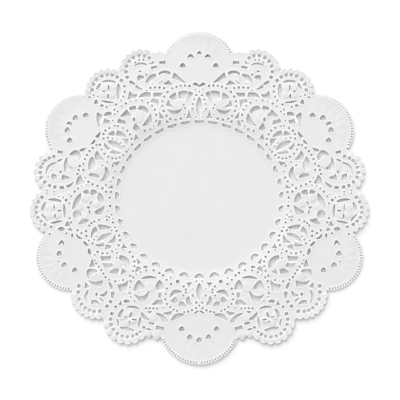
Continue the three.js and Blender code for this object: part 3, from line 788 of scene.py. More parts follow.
@dataclass
class LacePattern:
    """Every cut of the doily: its edge and its openings, large and small.

    The openings are cut a little larger than charted, by the growths: a width added all
    round for the large ones, and a factor for pinholes and square holes. A small opening
    that comes too near another cut is tried at smaller sizes and left out if none fits.
    """

    ring: SlotRing = SlotRing()
    spacing: float = 0.7
    small_spacing: float = 0.6
    least_step: float = 0.12
    least_bridge: float = 0.3
    least_apart: float = 0.9
    gap_sample: float = 0.15
    gap_reach: float = 4.0
    sizes_tried: tuple[float, ...] = (1.0, 0.9, 0.8, 0.7)
    tooth_pitch: float = 2.1
    tooth_width: float = 1.12
    tooth_length: float = 1.9
    tooth_depth: float = 1.1
    tooth_bridge: float = 0.12
    opening_growth: float = 0.2
    pin_growth: float = 1.35
    square_growth: float = 1.27
    edge: np.ndarray = field(init=False)
    openings: list[np.ndarray] = field(init=False)

    def __post_init__(self) -> None:
        """Works out the edge and the openings."""
        self.edge = self.edge_outline()
        kept = self.kept_apart(self.large_openings(), self.small_openings(), self.least_bridge)
        self.openings = self.kept_apart(kept, self.teeth(), self.tooth_bridge)

    def edge_outline(self) -> np.ndarray:
        """The whole edge: the right half and its mirror image.

        Returns:
            The points, anticlockwise, without those that nearly meet.
        """
        right = np.array([
            point for section in border_sections() for point in section.outline(self.spacing)
        ])
        clockwise = np.concatenate([right, mirrored(right)])
        steps = clockwise - np.roll(clockwise, 1, axis=0)
        return clockwise[np.hypot(steps[:, 0], steps[:, 1]) > self.least_step][::-1]

    def large_openings(self) -> list[np.ndarray]:
        """The slots, strokes and half-moon holes of both halves.

        Returns:
            Their outlines, each a little wider than charted.
        """
        wing = [*WING_OPENING, *((-x, y) for x, y in WING_OPENING[-2:0:-1])]
        middle = [Stroke(*row).outline(self.spacing) for row in MIDDLE_OPENINGS]
        middle.append(resampled(np.array(wing), self.spacing))
        middle += [Punch(*row).outline(self.spacing) for row in PUNCHES if row[0] == 0]
        right = [Stroke(*row).outline(self.spacing) for rows in RIGHT_OPENINGS for row in rows]
        right += [Punch(*row).outline(self.spacing) for row in PUNCHES if row[0] > 0]
        slots = [self.ring.outline(index, self.spacing) for index in range(self.ring.count)]
        made = [*middle, *right, *(mirrored(outline) for outline in right), *slots]
        return [widened(outline, self.opening_growth) for outline in made]

    def teeth(self) -> list[np.ndarray]:
        """The short slits just inside the plain lobes' edges, on both halves.

        Returns:
            Their outlines.
        """
        made = []
        for lobe in (Lobe(*row) for row in LOBES):
            radius = lobe.edge - self.tooth_depth
            step = math.degrees(self.tooth_pitch / radius)
            for index in range(round(abs(lobe.end - lobe.start) / step)):
                angle = lobe.start - step * (index + 0.5)
                middle = point_at(lobe.x, lobe.y, radius, angle)
                sizes = (self.tooth_length, self.tooth_width)
                slit = Pinhole(*middle, *sizes, HoleShape.TOOTH, angle)
                made.append(slit.outline(self.small_spacing))
        return [*made, *(mirrored(outline) for outline in made)]

    def slits(self) -> list[Pinhole]:
        """The narrow slits of the right half.

        Returns:
            One turned hole for each row.
        """
        made = []
        for x0, y0, x1, y1, width in SLITS:
            turn = math.degrees(math.atan2(y1 - y0, x1 - x0))
            length = math.hypot(x1 - x0, y1 - y0) + width / 2
            middle = ((x0 + x1) / 2, (y0 + y1) / 2)
            made.append(Pinhole(*middle, length, width, HoleShape.SLIT, turn))
        return made

    def squares(self) -> list[Pinhole]:
        """The square holes of the right half.

        Returns:
            One hole for each angle of each ring.
        """
        made = []
        for x, y, radius, size, angles in SQUARE_RINGS:
            width = size * self.square_growth
            for angle in angles:
                middle = point_at(x, y, radius, angle)
                made.append(Pinhole(*middle, width, width, HoleShape.SQUARE, angle))
        return made

    def pins(self) -> list[Pinhole]:
        """The pinholes of the right half, in runs and single.

        Returns:
            The holes of the runs, evenly spaced along each bow, then the single ones.
        """
        made = []
        for x0, y0, x1, y1, bow, count, size in PIN_RUNS:
            start, end = np.array([x0, y0], float), np.array([x1, y1], float)
            left = np.array([y0 - y1, x1 - x0]) / np.hypot(x1 - x0, y1 - y0)
            width = size * self.pin_growth
            for index in range(int(count)):
                share = index / (count - 1)
                point = start + (end - start) * share + 4 * bow * share * (1 - share) * left
                made.append(Pinhole(*point, width, width))
        return [*made, *(Pinhole(*row, HoleShape.PIN) for row in PINHOLES)]

    def small_openings(self) -> list[np.ndarray]:
        """The pinholes, square holes and slits of both halves.

        Returns:
            Their outlines, those on the middle line first.
        """
        middle_holes = [Pinhole(*row, HoleShape.PIN) for row in MIDDLE_PINHOLES]
        right_holes = [*self.slits(), *self.squares(), *self.pins()]
        middle = [hole.outline(self.small_spacing) for hole in middle_holes]
        right = [hole.outline(self.small_spacing) for hole in right_holes]
        return [*middle, *right, *(mirrored(outline) for outline in right)]

    def fitted(self, outline: np.ndarray, near: np.ndarray, bridge: float) -> np.ndarray | None:
        """A small opening at the largest size that leaves paper all round it.

        Args:
            outline: The opening as charted.
            near: Points of the cuts round it.
            bridge: Least width of paper between two cuts, in millimetres.

        Returns:
            The opening's outline, or nothing where it touches another cut at every size.
        """
        middle = outline.mean(axis=0)
        for share in self.sizes_tried:
            tried = middle + (outline - middle) * share
            dense = resampled(tried, self.gap_sample)
            gaps = np.hypot(*(dense[:, None, :] - near[None, :, :]).transpose(2, 0, 1))
            if not gaps.size or gaps.min() >= bridge:
                return tried
        return None

    def kept_apart(
        self, large: list[np.ndarray], small: list[np.ndarray], bridge: float,
    ) -> list[np.ndarray]:
        """The large openings, and the small ones that leave a bridge of paper round them.

        Args:
            large: Openings that are all kept.
            small: Openings that are left out where they touch another cut.
            bridge: Least width of paper between two cuts, in millimetres.

        Returns:
            The openings that are kept.
        """
        kept = list(large)
        standing = np.concatenate([resampled(cut, self.gap_sample) for cut in [self.edge, *large]])
        middles = np.full((1, 2), np.inf)
        left_out = 0
        for outline in small:
            middle = outline.mean(axis=0)
            if np.hypot(*(middles - middle).T).min() < self.least_apart:
                LOG.info("small hole at %s is there already", np.round(middle, 1))
                continue
            middles = np.concatenate([middles, middle[None, :]])
            near = standing[np.abs(standing - middle).max(axis=1) < self.gap_reach]
            fitting = self.fitted(outline, near, bridge)
            if fitting is None:
                LOG.info("small hole at %s left out", np.round(middle, 1))
                left_out += 1
                continue
            kept.append(fitting)
            standing = np.concatenate([standing, resampled(fitting, self.gap_sample)])
        LOG.info("%d openings, %d small ones left out", len(kept), left_out)
        return kept

    def paper_area(self) -> float:
        """The area of the paper between the cuts, in square millimetres."""
        openings = sum(abs(signed_area(cut)) for cut in self.openings)
        return abs(signed_area(self.edge)) - openings


@dataclass(frozen=True)
class Dome:
    """A round raised hub, petal or bead, with steep sides and a level top."""

    x: float
    y: float
    radius: float
    height: float
    fullness: float = 2.5
    power: float = 1.5

    def mirrored(self) -> "Dome":
        """The same dome on the other side of the middle line."""
        return Dome(-self.x, self.y, self.radius, self.height)

    def raised(self, points: np.ndarray) -> np.ndarray:
        """How far the dome lifts the paper.

        Args:
            points: Where to work it out.

        Returns:
            The lift at each point, nothing outside the dome.
        """
        share = np.hypot(points[:, 0] - self.x, points[:, 1] - self.y) / self.radius
        inside = np.clip(1 - share * share, 0, 1)
        return self.height * np.minimum(1, inside * self.fullness) ** self.power


@dataclass(frozen=True)
class Ridge:
    """A raised line of the embossing."""

    x0: float
    y0: float
    x1: float
    y1: float
    bow: float
    width: float
    height: float
    guide_spacing: float = 0.7
    sample: float = 0.5

    def mirrored(self) -> "Ridge":
        """The same line on the other side of the middle line."""
        return Ridge(-self.x0, self.y0, -self.x1, self.y1, -self.bow, self.width, self.height)

    def centre_line(self, spacing: float) -> np.ndarray:
        """Points about a spacing apart along the line."""
        start, end = np.array([self.x0, self.y0]), np.array([self.x1, self.y1])
        return np.array([*bowed_side(start, end, self.bow, spacing), end])

    def guides(self) -> np.ndarray:
        """Points that the mesh needs to follow the line.

        Returns:
            The points on its crest, then those on its left and its right foot.
        """
        line = self.centre_line(self.guide_spacing)
        ahead = np.gradient(line, axis=0)
        ahead /= np.hypot(ahead[:, 0], ahead[:, 1])[:, None]
        across = np.stack([-ahead[:, 1], ahead[:, 0]], axis=1) * self.width / 2
        return np.concatenate([line, line + across, line - across])

    def raised(self, points: np.ndarray) -> np.ndarray:
        """How far the line lifts the paper.

        Args:
            points: Where to work it out.

        Returns:
            The lift at each point, nothing away from the line.
        """
        line = self.centre_line(self.sample)
        low, high = line.min(axis=0) - self.width, line.max(axis=0) + self.width
        inside = np.flatnonzero(((points > low) & (points < high)).all(axis=1))
        lift = np.zeros(len(points))
        if len(inside):
            steps = points[inside][:, None, :] - line[None, :, :]
            share = np.hypot(steps[..., 0], steps[..., 1]).min(axis=1) / (self.width / 2)
            lift[inside] = self.height * np.clip(1 - share * share, 0, 1)
        return lift


@dataclass(frozen=True)
class Unevenness:
    """The slight waves in which the lace lies, as paper does."""

    height: float = 0.2
    width: float = 17.0
    length: float = 21.0
    slanting: float = 11.0
    slanting_share: float = 0.6
    start_x: float = 1.3
    start_y: float = 0.4

    def at(self, points: np.ndarray) -> np.ndarray:
        """How far the waves lift the paper, below zero in their hollows.

        Args:
            points: Where to work it out.

        Returns:
            The lift at each point.
        """
        x, y = points[:, 0], points[:, 1]
        waves = np.sin(x / self.width + self.start_x) * np.cos(y / self.length + self.start_y)
        return self.height * (waves + self.slanting_share * np.sin((x + y) / self.slanting))


@dataclass
class Relief:
    """The height of the sheet's upper face: how it lies, and what is pressed into it.

    The middle is level and slightly domed, the lace rises round it, and the edge drops
    again. Where the rise and the drop start and how far they run are shares of the slot
    ring's radius.
    """

    ring: SlotRing
    waves: Unevenness = Unevenness()
    rim_height: float = 0.3
    rim_crest: float = 0.45
    rim_foot: float = 1.1
    rim_start: float = 0.5
    middle_lift: float = 1.95
    middle_dome: float = 0.5
    lace_lift: float = 2.3
    lace_start: float = 0.9
    lace_run: float = 0.3
    edge_drop: float = 1.85
    edge_start: float = 1.2
    edge_run: float = 0.9
    petal_height: float = 0.85
    bead_radius: float = 2.5
    bead_height: float = 0.85
    bead_inset: float = 1.3
    leaf_foot: float = 0.55
    leaf_bow: float = 0.35
    leaf_width: float = 0.9
    leaf_height: float = 0.16
    arc_insets: tuple[float, ...] = (3.2, 4.3)
    arc_half_angle: float = 20.0
    arc_width: float = 0.8
    arc_height: float = 0.12
    net_start: float = 1.9
    net_end: float = 12.0
    net_fade: float = 5.0
    lobes: list[Lobe] = field(init=False)
    domes: list[Dome] = field(init=False)
    ridges: list[Ridge] = field(init=False)

    def __post_init__(self) -> None:
        """Lists what is pressed into both halves."""
        self.lobes = [Lobe(*row) for row in LOBES]
        self.domes = self.all_domes()
        self.ridges = self.all_ridges()

    def base(self, points: np.ndarray) -> np.ndarray:
        """How high the sheet lies off the floor before it is embossed.

        Args:
            points: Where to work it out.

        Returns:
            The height at each point: level in the middle, higher in the lace, low at the edge.
        """
        reach = self.ring.reach(points)
        lace = np.clip((reach - self.lace_start) / self.lace_run, 0, 1)
        edge = np.clip((reach - self.edge_start) / self.edge_run, 0, 1)
        return (
            self.middle_lift
            + self.middle_dome * np.clip(1 - reach * reach, 0, 1) ** 2
            + self.lace_lift * eased(lace)
            - self.edge_drop * eased(edge)
            + self.waves.at(points) * lace
        )

    def rim(self, distance: np.ndarray) -> np.ndarray:
        """The raised lip round every cut.

        Args:
            distance: How far each point is from the nearest cut.

        Returns:
            The lip's height at each point: up to its crest, then down to its foot.
        """
        rising = self.rim_start + (1 - self.rim_start) * np.clip(distance / self.rim_crest, 0, 1)
        past = (distance - self.rim_crest) / (self.rim_foot - self.rim_crest)
        falling = 1 - eased(np.clip(past, 0, 1))
        return self.rim_height * np.where(distance < self.rim_crest, rising, falling)

    def all_domes(self) -> list[Dome]:
        """Every round dome of both halves.

        Returns:
            The hubs, the rosettes' petals and the beads, and then their mirror images.
        """
        right = [Dome(*row) for row in HUBS]
        for x, y, distance, radius, turn in ROSETTES:
            for quarter in range(4):
                petal = point_at(x, y, distance, turn + 90 * quarter)
                right.append(Dome(*petal, radius, self.petal_height))
        for section in border_sections():
            for bead in section.bead_middles(self.bead_inset):
                right.append(Dome(*bead, self.bead_radius, self.bead_height))
        return [*right, *(dome.mirrored() for dome in right)]

    def leaf(
        self, lobe: Lobe, angle: float, inner: float, outer: float, spread: float,
    ) -> list[Ridge]:
        """The two raised sides of one leaf of a lobe's fan.

        Args:
            lobe: The lobe that holds the fan.
            angle: The leaf's direction from the lobe's middle, in degrees.
            inner: How far from that middle the leaf starts.
            outer: How far from that middle the leaf ends.
            spread: How far its sides stand from its own middle line.

        Returns:
            Its right and its left side.
        """
        across = np.array([-math.sin(math.radians(angle)), math.cos(math.radians(angle))])
        foot = point_at(lobe.x, lobe.y, inner, angle)
        tip = point_at(lobe.x, lobe.y, outer, angle)
        return [
            Ridge(
                *(foot + across * lean * spread * self.leaf_foot),
                *(tip + across * lean * spread),
                self.leaf_bow * -lean, self.leaf_width, self.leaf_height,
            )
            for lean in (-1, 1)
        ]

    def arc(self, lobe: Lobe, inset: float) -> Ridge:
        """A line raised along a lobe's edge, about its fan's direction.

        Args:
            lobe: The lobe that holds it.
            inset: How far it lies inside the lobe's edge.

        Returns:
            The line.
        """
        radius = lobe.edge - inset
        start = point_at(lobe.x, lobe.y, radius, lobe.axis + self.arc_half_angle)
        end = point_at(lobe.x, lobe.y, radius, lobe.axis - self.arc_half_angle)
        bow = radius * (1 - math.cos(math.radians(self.arc_half_angle)))
        return Ridge(*start, *end, bow, self.arc_width, self.arc_height)

    def all_ridges(self) -> list[Ridge]:
        """Every raised line of the lobes. The lobes on the middle line have both sides.

        Returns:
            The lines of the middle and right lobes, then those of the left lobes.
        """
        charted: list[Ridge] = []
        beyond: list[Ridge] = []
        for lobe in self.lobes:
            made: list[Ridge] = []
            for turn, inner, outer, spread in FAN_LEAVES:
                for side in (-1, 1) if turn else (1,):
                    made += self.leaf(lobe, lobe.axis + side * turn, inner, outer, spread)
            made += [self.arc(lobe, inset) for inset in self.arc_insets]
            charted += made
            if lobe.x > 0:
                beyond += [ridge.mirrored() for ridge in made]
        return [*charted, *beyond]

    def embossing(self, points: np.ndarray) -> np.ndarray:
        """The height of the domes and raised lines.

        Args:
            points: Where to work it out.

        Returns:
            The height at each point, of the highest dome there and of all lines.
        """
        height = np.zeros(len(points))
        for dome in self.domes:
            height = np.maximum(height, dome.raised(points))
        for ridge in self.ridges:
            height += ridge.raised(points)
        return height

    def net(self, points: np.ndarray) -> np.ndarray:
        """How strongly the fine pressed net of the lobes shows.

        Args:
            points: Where to work it out.

        Returns:
            A share from 0 to 1 at each point, fading inwards from the lobes' edges.
        """
        shown = np.zeros(len(points))
        for lobe in self.lobes:
            for side in (-1, 1):
                across, up = side * points[:, 0] - lobe.x, points[:, 1] - lobe.y
                inset = lobe.edge - np.hypot(across, up)
                turned = np.degrees(np.arctan2(up, across)) - lobe.axis
                aside = np.abs((turned + 180) % 360 - 180)
                band = np.clip(inset - self.net_start, 0, 1)
                band *= np.clip((self.net_end - inset) / self.net_fade, 0, 1)
                shown = np.maximum(shown, band * (aside < (lobe.start - lobe.end) / 2))
        return shown

    def guides(self) -> np.ndarray:
        """Points along every raised line, on its crest and on its two feet."""
        return np.concatenate([ridge.guides() for ridge in self.ridges])

    def upper(self, points: np.ndarray, distance: np.ndarray) -> np.ndarray:
        """The height of the upper face, from the points and their distances from the cuts."""
        return self.base(points) + self.rim(distance) + self.embossing(points)


@dataclass
class CutDistance:
    """Distances from the pattern's cuts, and the side of them that is paper."""

    outlines: list[np.ndarray]
    sample: float = 0.2
    tree: KDTree = field(init=False)
    inward: np.ndarray = field(init=False)

    def __post_init__(self) -> None:
        """Samples the cuts, each with its direction towards the paper on its left."""
        dense = [resampled(outline, self.sample) for outline in self.outlines]
        samples = np.concatenate(dense)
        self.inward = np.concatenate([leftwards(points) for points in dense])
        self.tree = KDTree(len(samples))
        for index, (x, y) in enumerate(samples):
            self.tree.insert((x, y, 0.0), index)
        self.tree.balance()

    def signed(self, points: np.ndarray) -> np.ndarray:
        """Distances from the nearest cut.

        Args:
            points: Where to measure.

        Returns:
            One distance for each point, below zero where there is no paper.
        """
        result = np.empty(len(points))
        for row, (x, y) in enumerate(points):
            (near_x, near_y, _), index, distance = self.tree.find((x, y, 0.0))
            inward_x, inward_y = self.inward[index]
            side = (x - near_x) * inward_x + (y - near_y) * inward_y
            result[row] = distance if side > 0 else -distance
        return result


@dataclass
class Thinner:
    """Keeps points apart from each other and from all that it kept before."""

    cell: float = 0.5
    taken: dict[tuple[int, int], list[tuple[float, float]]] = field(default_factory=dict)

    def kept(self, points: np.ndarray, spacing: float) -> np.ndarray:
        """Thins points out.

        Args:
            points: The points, those wanted most first.
            spacing: How far apart they have to be.

        Returns:
            The points that are far enough from every point kept before them.
        """
        kept = []
        reach = math.ceil(spacing / self.cell)
        for x, y in points:
            column, line = math.floor(x / self.cell), math.floor(y / self.cell)
            neighbours = (
                other
                for i in range(column - reach, column + reach + 1)
                for j in range(line - reach, line + reach + 1)
                for other in self.taken.get((i, j), ())
            )
            if any((x - a) ** 2 + (y - b) ** 2 < spacing * spacing for a, b in neighbours):
                continue
            self.taken.setdefault((column, line), []).append((x, y))
            kept.append((x, y))
        return np.array(kept).reshape(-1, 2)


@dataclass(frozen=True)
class SheetFace:
    """One face of the sheet: flat points, their distances from the cuts, and triangles."""

    points: np.ndarray
    distance: np.ndarray
    triangles: Faces


@dataclass
class PaperMesh:
    """Points and triangles of the sheet's two faces, from the cuts and the relief.

    Points are closest together beside the cuts and on what is pressed, and far apart on
    the plain paper. The spacings say how close they may come to those placed before them,
    and the margins how far they keep from a lip.
    """

    pattern: LacePattern
    relief: Relief
    cut_spacing: float = 0.05
    crest_spacing: float = 0.42
    crest_clearance: float = 0.9
    foot_spacing: float = 0.6
    foot_clearance: float = 0.95
    lower_foot_spacing: float = 1.4
    guide_spacing: float = 0.4
    fine_grid: float = 1.0
    fine_spacing: float = 0.7
    fine_margin: float = 0.3
    fine_reach: float = 3.4
    dome_margin: float = 0.2
    coarse_grid: float = 3.4
    coarse_spacing: float = 1.6
    coarse_margin: float = 0.5
    outlines: list[np.ndarray] = field(init=False)
    boundary: np.ndarray = field(init=False)
    cuts: CutDistance = field(init=False)

    def __post_init__(self) -> None:
        """Turns every cut so that the paper is on its left."""
        turned = [cut[::-1] if signed_area(cut) > 0 else cut for cut in self.pattern.openings]
        self.outlines = [self.pattern.edge, *turned]
        self.boundary = np.concatenate(self.outlines)
        self.cuts = CutDistance(self.outlines)

    def beside_cuts(self, offset: float, clearance: float) -> np.ndarray:
        """Points on the paper beside every cut.

        Args:
            offset: How far from their own cut they lie.
            clearance: The share of it that any other cut has to be away.

        Returns:
            The points, in the cuts' order.
        """
        points = np.concatenate([
            outline + offset * leftwards(outline) for outline in self.outlines
        ])
        return points[self.cuts.signed(points) > clearance * offset]

    def grid(self, spacing: float) -> np.ndarray:
        """A triangular grid of points over the whole sheet.

        Args:
            spacing: How far apart the points are.

        Returns:
            The points, line by line.
        """
        low, high = self.pattern.edge.min(axis=0), self.pattern.edge.max(axis=0)
        rows = []
        for index, y in enumerate(np.arange(low[1], high[1], spacing * math.sqrt(3) / 2)):
            across = np.arange(low[0] + spacing / 2 * (index % 2), high[0], spacing)
            rows.append(np.stack([across, np.full(len(across), y)], axis=1))
        return np.concatenate(rows)

    def fine_points(self) -> np.ndarray:
        """Points of the fine grid, where the relief needs them.

        Returns:
            The points near the cuts, and those on the domes and raised lines.
        """
        points = self.grid(self.fine_grid)
        depth = self.cuts.signed(points)
        near = (depth > self.relief.rim_foot + self.fine_margin) & (depth < self.fine_reach)
        pressed = self.relief.embossing(points) > 0
        pressed &= depth > self.relief.rim_crest + self.dome_margin
        return points[near | pressed]

    def triangles(self, inner: np.ndarray) -> Faces:
        """Triangles of the paper between the cuts.

        Args:
            inner: The points inside the paper, besides those of the cuts.

        Returns:
            The triangles' corners, counted through the cuts' points and then the inner ones.
        """
        vertices = [Vector((x, y)) for x, y in np.concatenate([self.boundary, inner])]
        loops, start = [], 0
        for outline in self.outlines:
            loop = list(range(start, start + len(outline)))
            loops.append(loop if start == 0 else loop[::-1])
            start += len(outline)
        made, _, made_faces, origins, _, face_origins = delaunay_2d_cdt(
            vertices, [], loops, 0, NO_LENGTH, True)
        if len(made) != len(vertices):
            LOG.warning("%d points became %d", len(vertices), len(made))
        index_of = [origin[0] if origin else -1 for origin in origins]
        paper = [
            tuple(index_of[corner] for corner in face)
            for face, origin in zip(made_faces, face_origins) if list(origin) == [0]
        ]
        return [face for face in paper if -1 not in face]

    def face(self, inner: np.ndarray) -> SheetFace:
        """One face over the cuts' points and the inner points."""
        distance = np.concatenate([np.zeros(len(self.boundary)), np.abs(self.cuts.signed(inner))])
        points = np.concatenate([self.boundary, inner])
        return SheetFace(points, distance, self.triangles(inner))

    def faces(self) -> tuple[SheetFace, SheetFace]:
        """The finely pressed upper face and the coarser lower one.

        Returns:
            The upper face and the lower face.
        """
        crest = self.beside_cuts(self.relief.rim_crest, self.crest_clearance)
        foot = self.beside_cuts(self.relief.rim_foot, self.foot_clearance)
        guides = self.relief.guides()
        guides = guides[self.cuts.signed(guides) > self.crest_clearance * self.relief.rim_crest]
        coarse = self.grid(self.coarse_grid)
        coarse = coarse[self.cuts.signed(coarse) > self.relief.rim_foot + self.coarse_margin]

        above = Thinner()
        above.kept(self.boundary, self.cut_spacing)
        crest = above.kept(crest, self.crest_spacing)
        foot = above.kept(foot, self.foot_spacing)
        upper = [
            crest,
            foot,
            above.kept(guides, self.guide_spacing),
            above.kept(self.fine_points(), self.fine_spacing),
            above.kept(coarse, self.coarse_spacing),
        ]

        below = Thinner()
        below.kept(self.boundary, self.cut_spacing)
        lower = [
            below.kept(foot, self.lower_foot_spacing),
            below.kept(coarse, self.coarse_spacing),
        ]
        return self.face(np.concatenate(upper)), self.face(np.concatenate(lower))


@dataclass
class NodeSet:
    """A new material with its nodes, and short ways to add and join them."""

    name: str
    material: bpy.types.Material = field(init=False)

    def __post_init__(self) -> None:
        """Makes the material."""
        self.material = bpy.data.materials.new(self.name)
        self.material.use_nodes = True

    def shader(self) -> bpy.types.Node:
        """The material's shader."""
        return self.material.node_tree.nodes["Principled BSDF"]

    def add(self, kind: str, values: dict[str, float] | None = None) -> bpy.types.Node:
        """Adds a node.

        Args:
            kind: The node's type.
            values: The values of its inputs, by their names.

        Returns:
            The node.
        """
        node = self.material.node_tree.nodes.new(kind)
        for name, value in (values or {}).items():
            node.inputs[name].default_value = value
        return node

    def join(self, source: bpy.types.NodeSocket, target: bpy.types.NodeSocket) -> None:
        """Joins an output to an input."""
        self.material.node_tree.links.new(source, target)

    def attribute(self, name: str) -> bpy.types.NodeSocket:
        """A number that the mesh holds at each point."""
        node = self.add("ShaderNodeAttribute")
        node.attribute_name = name
        return node.outputs["Fac"]

    def product(self) -> bpy.types.Node:
        """A node that multiplies its first two inputs."""
        node = self.add("ShaderNodeMath")
        node.operation = "MULTIPLY"
        return node

    def laid_over(
        self, below: bpy.types.NodeSocket, colour: Colour, share: bpy.types.NodeSocket,
    ) -> bpy.types.NodeSocket:
        """One colour laid over another.

        Args:
            below: The colour that is covered.
            colour: The colour on top.
            share: How much of it shows, from 0 to 1.

        Returns:
            The mixed colour.
        """
        mix = self.add("ShaderNodeMix")
        mix.data_type = "RGBA"
        mix.inputs["B"].default_value = (*colour, 1)
        self.join(share, mix.inputs["Factor"])
        self.join(below, mix.inputs["A"])
        return mix.outputs["Result"]


@dataclass(frozen=True)
class EmbossedPaper:
    """The finish: thin white paper with fine fibres, faintly mottled, with a painted highlight
    along every cut and painted shade on the turned-down foot of each cut.

    The lip highlight's width is in millimetres, as the distance from a cut is that the mesh holds.
    Heights and the net's pitch are in metres.
    """

    name: str = "paper"
    bright_paper: Colour = (0.798, 0.798, 0.798)
    dull_paper: Colour = (0.783, 0.783, 0.783)
    # painted highlight: a lighter tone along every cut, standing in for light catching the raised
    # rounded lip
    painted_lip_highlight: Colour = (0.94, 0.94, 0.926)
    # painted shade: the turned-down foot of each cut is given this tone, duller than the lip
    # highlight, so that the openings read darker
    painted_burr_shade: Colour = (0.85, 0.85, 0.85)
    lip_highlight_width: float = 0.85
    lip_highlight_core: float = 0.3
    roughness_low: float = 0.72
    roughness_high: float = 0.9
    specular: float = 0.3
    fibre_scale: float = 1800.0
    fibre_detail: float = 4.0
    fibre_contrast: float = 0.6
    fibre_height: float = 0.00004
    fibre_strength: float = 0.6
    mottle_scale: float = 90.0
    mottle_detail: float = 5.0
    mottle_dull: float = 0.35
    mottle_bright: float = 0.65
    net_pitch: float = 0.0017
    net_height: float = 0.00018
    net_strength: float = 1.0
    net_wobble: float = 0.8
    net_angles: tuple[float, float] = (38.0, -38.0)

    def material(self) -> bpy.types.Material:
        """Makes the paper, all procedural, in object coordinates.

        Returns:
            The material.
        """
        made = NodeSet(self.name)
        place = made.add("ShaderNodeTexCoord").outputs["Object"]
        fibre = made.add("ShaderNodeTexNoise", {
            "Scale": self.fibre_scale,
            "Detail": self.fibre_detail,
            "Roughness": self.fibre_contrast,
        })
        made.join(place, fibre.inputs["Vector"])
        rough = made.add("ShaderNodeMapRange", {
            "To Min": self.roughness_low,
            "To Max": self.roughness_high,
        })
        made.join(fibre.outputs["Fac"], rough.inputs["Value"])
        bump = made.add("ShaderNodeBump", {
            "Distance": self.fibre_height,
            "Strength": self.fibre_strength,
        })
        made.join(fibre.outputs["Fac"], bump.inputs["Height"])
        made.join(self.net(made, place), bump.inputs["Normal"])
        shader = made.shader()
        shader.inputs["Specular IOR Level"].default_value = self.specular
        made.join(self.colour(made, place), shader.inputs["Base Color"])
        made.join(rough.outputs["Result"], shader.inputs["Roughness"])
        made.join(bump.outputs["Normal"], shader.inputs["Normal"])
        return made.material

    def colour(self, made: NodeSet, place: bpy.types.NodeSocket) -> bpy.types.NodeSocket:
        """The paper's colour: mottled, with a painted highlight on the lips, which painted shade
        dims on the turned-down feet of the cuts.

        Args:
            made: The material's nodes.
            place: The point's place on the sheet.

        Returns:
            The colour.
        """
        mottle = made.add("ShaderNodeTexNoise", {
            "Scale": self.mottle_scale,
            "Detail": self.mottle_detail,
        })
        made.join(place, mottle.inputs["Vector"])
        tone = made.add("ShaderNodeValToRGB")
        dull, bright = tone.color_ramp.elements
        dull.position = self.mottle_dull
        dull.color = (*self.dull_paper, 1)
        bright.position = self.mottle_bright
        bright.color = (*self.bright_paper, 1)
        made.join(mottle.outputs["Fac"], tone.inputs["Fac"])
        # painted highlight: the band along each cut is made lighter, as light falling on the lip
        # would make it
        lip = made.add("ShaderNodeMapRange", {
            "From Min": self.lip_highlight_width,
            "From Max": self.lip_highlight_width * self.lip_highlight_core,
        })
        lip.interpolation_type = "SMOOTHSTEP"
        made.join(made.attribute("cut_distance"), lip.inputs["Value"])
        lip_highlighted = made.laid_over(tone.outputs["Color"], self.painted_lip_highlight, lip.outputs["Result"])
        # painted shade: the turned-down foot of each cut is dulled below the lip highlight, which
        # darkens the openings
        return made.laid_over(lip_highlighted, self.painted_burr_shade, made.attribute("burr_shade"))

    def net(self, made: NodeSet, place: bpy.types.NodeSocket) -> bpy.types.NodeSocket:
        """The pressed net of the lobes: two sets of fine waves that cross.

        Args:
            made: The material's nodes.
            place: The point's place on the sheet.

        Returns:
            The normal of the netted paper.
        """
        crossed = made.product()
        for slot, angle in enumerate(self.net_angles):
            turned = made.add("ShaderNodeMapping")
            turned.inputs["Rotation"].default_value[2] = math.radians(angle)
            wave = made.add("ShaderNodeTexWave", {
                "Scale": WAVE_BAND / self.net_pitch,
                "Distortion": self.net_wobble,
            })
            made.join(place, turned.inputs["Vector"])
            made.join(turned.outputs["Vector"], wave.inputs["Vector"])
            made.join(wave.outputs["Fac"], crossed.inputs[slot])
        masked = made.product()
        made.join(crossed.outputs["Value"], masked.inputs[0])
        made.join(made.attribute("net"), masked.inputs[1])
        bump = made.add("ShaderNodeBump", {
            "Distance": self.net_height,
            "Strength": self.net_strength,
        })
        made.join(masked.outputs["Value"], bump.inputs["Height"])
        return bump.outputs["Normal"]


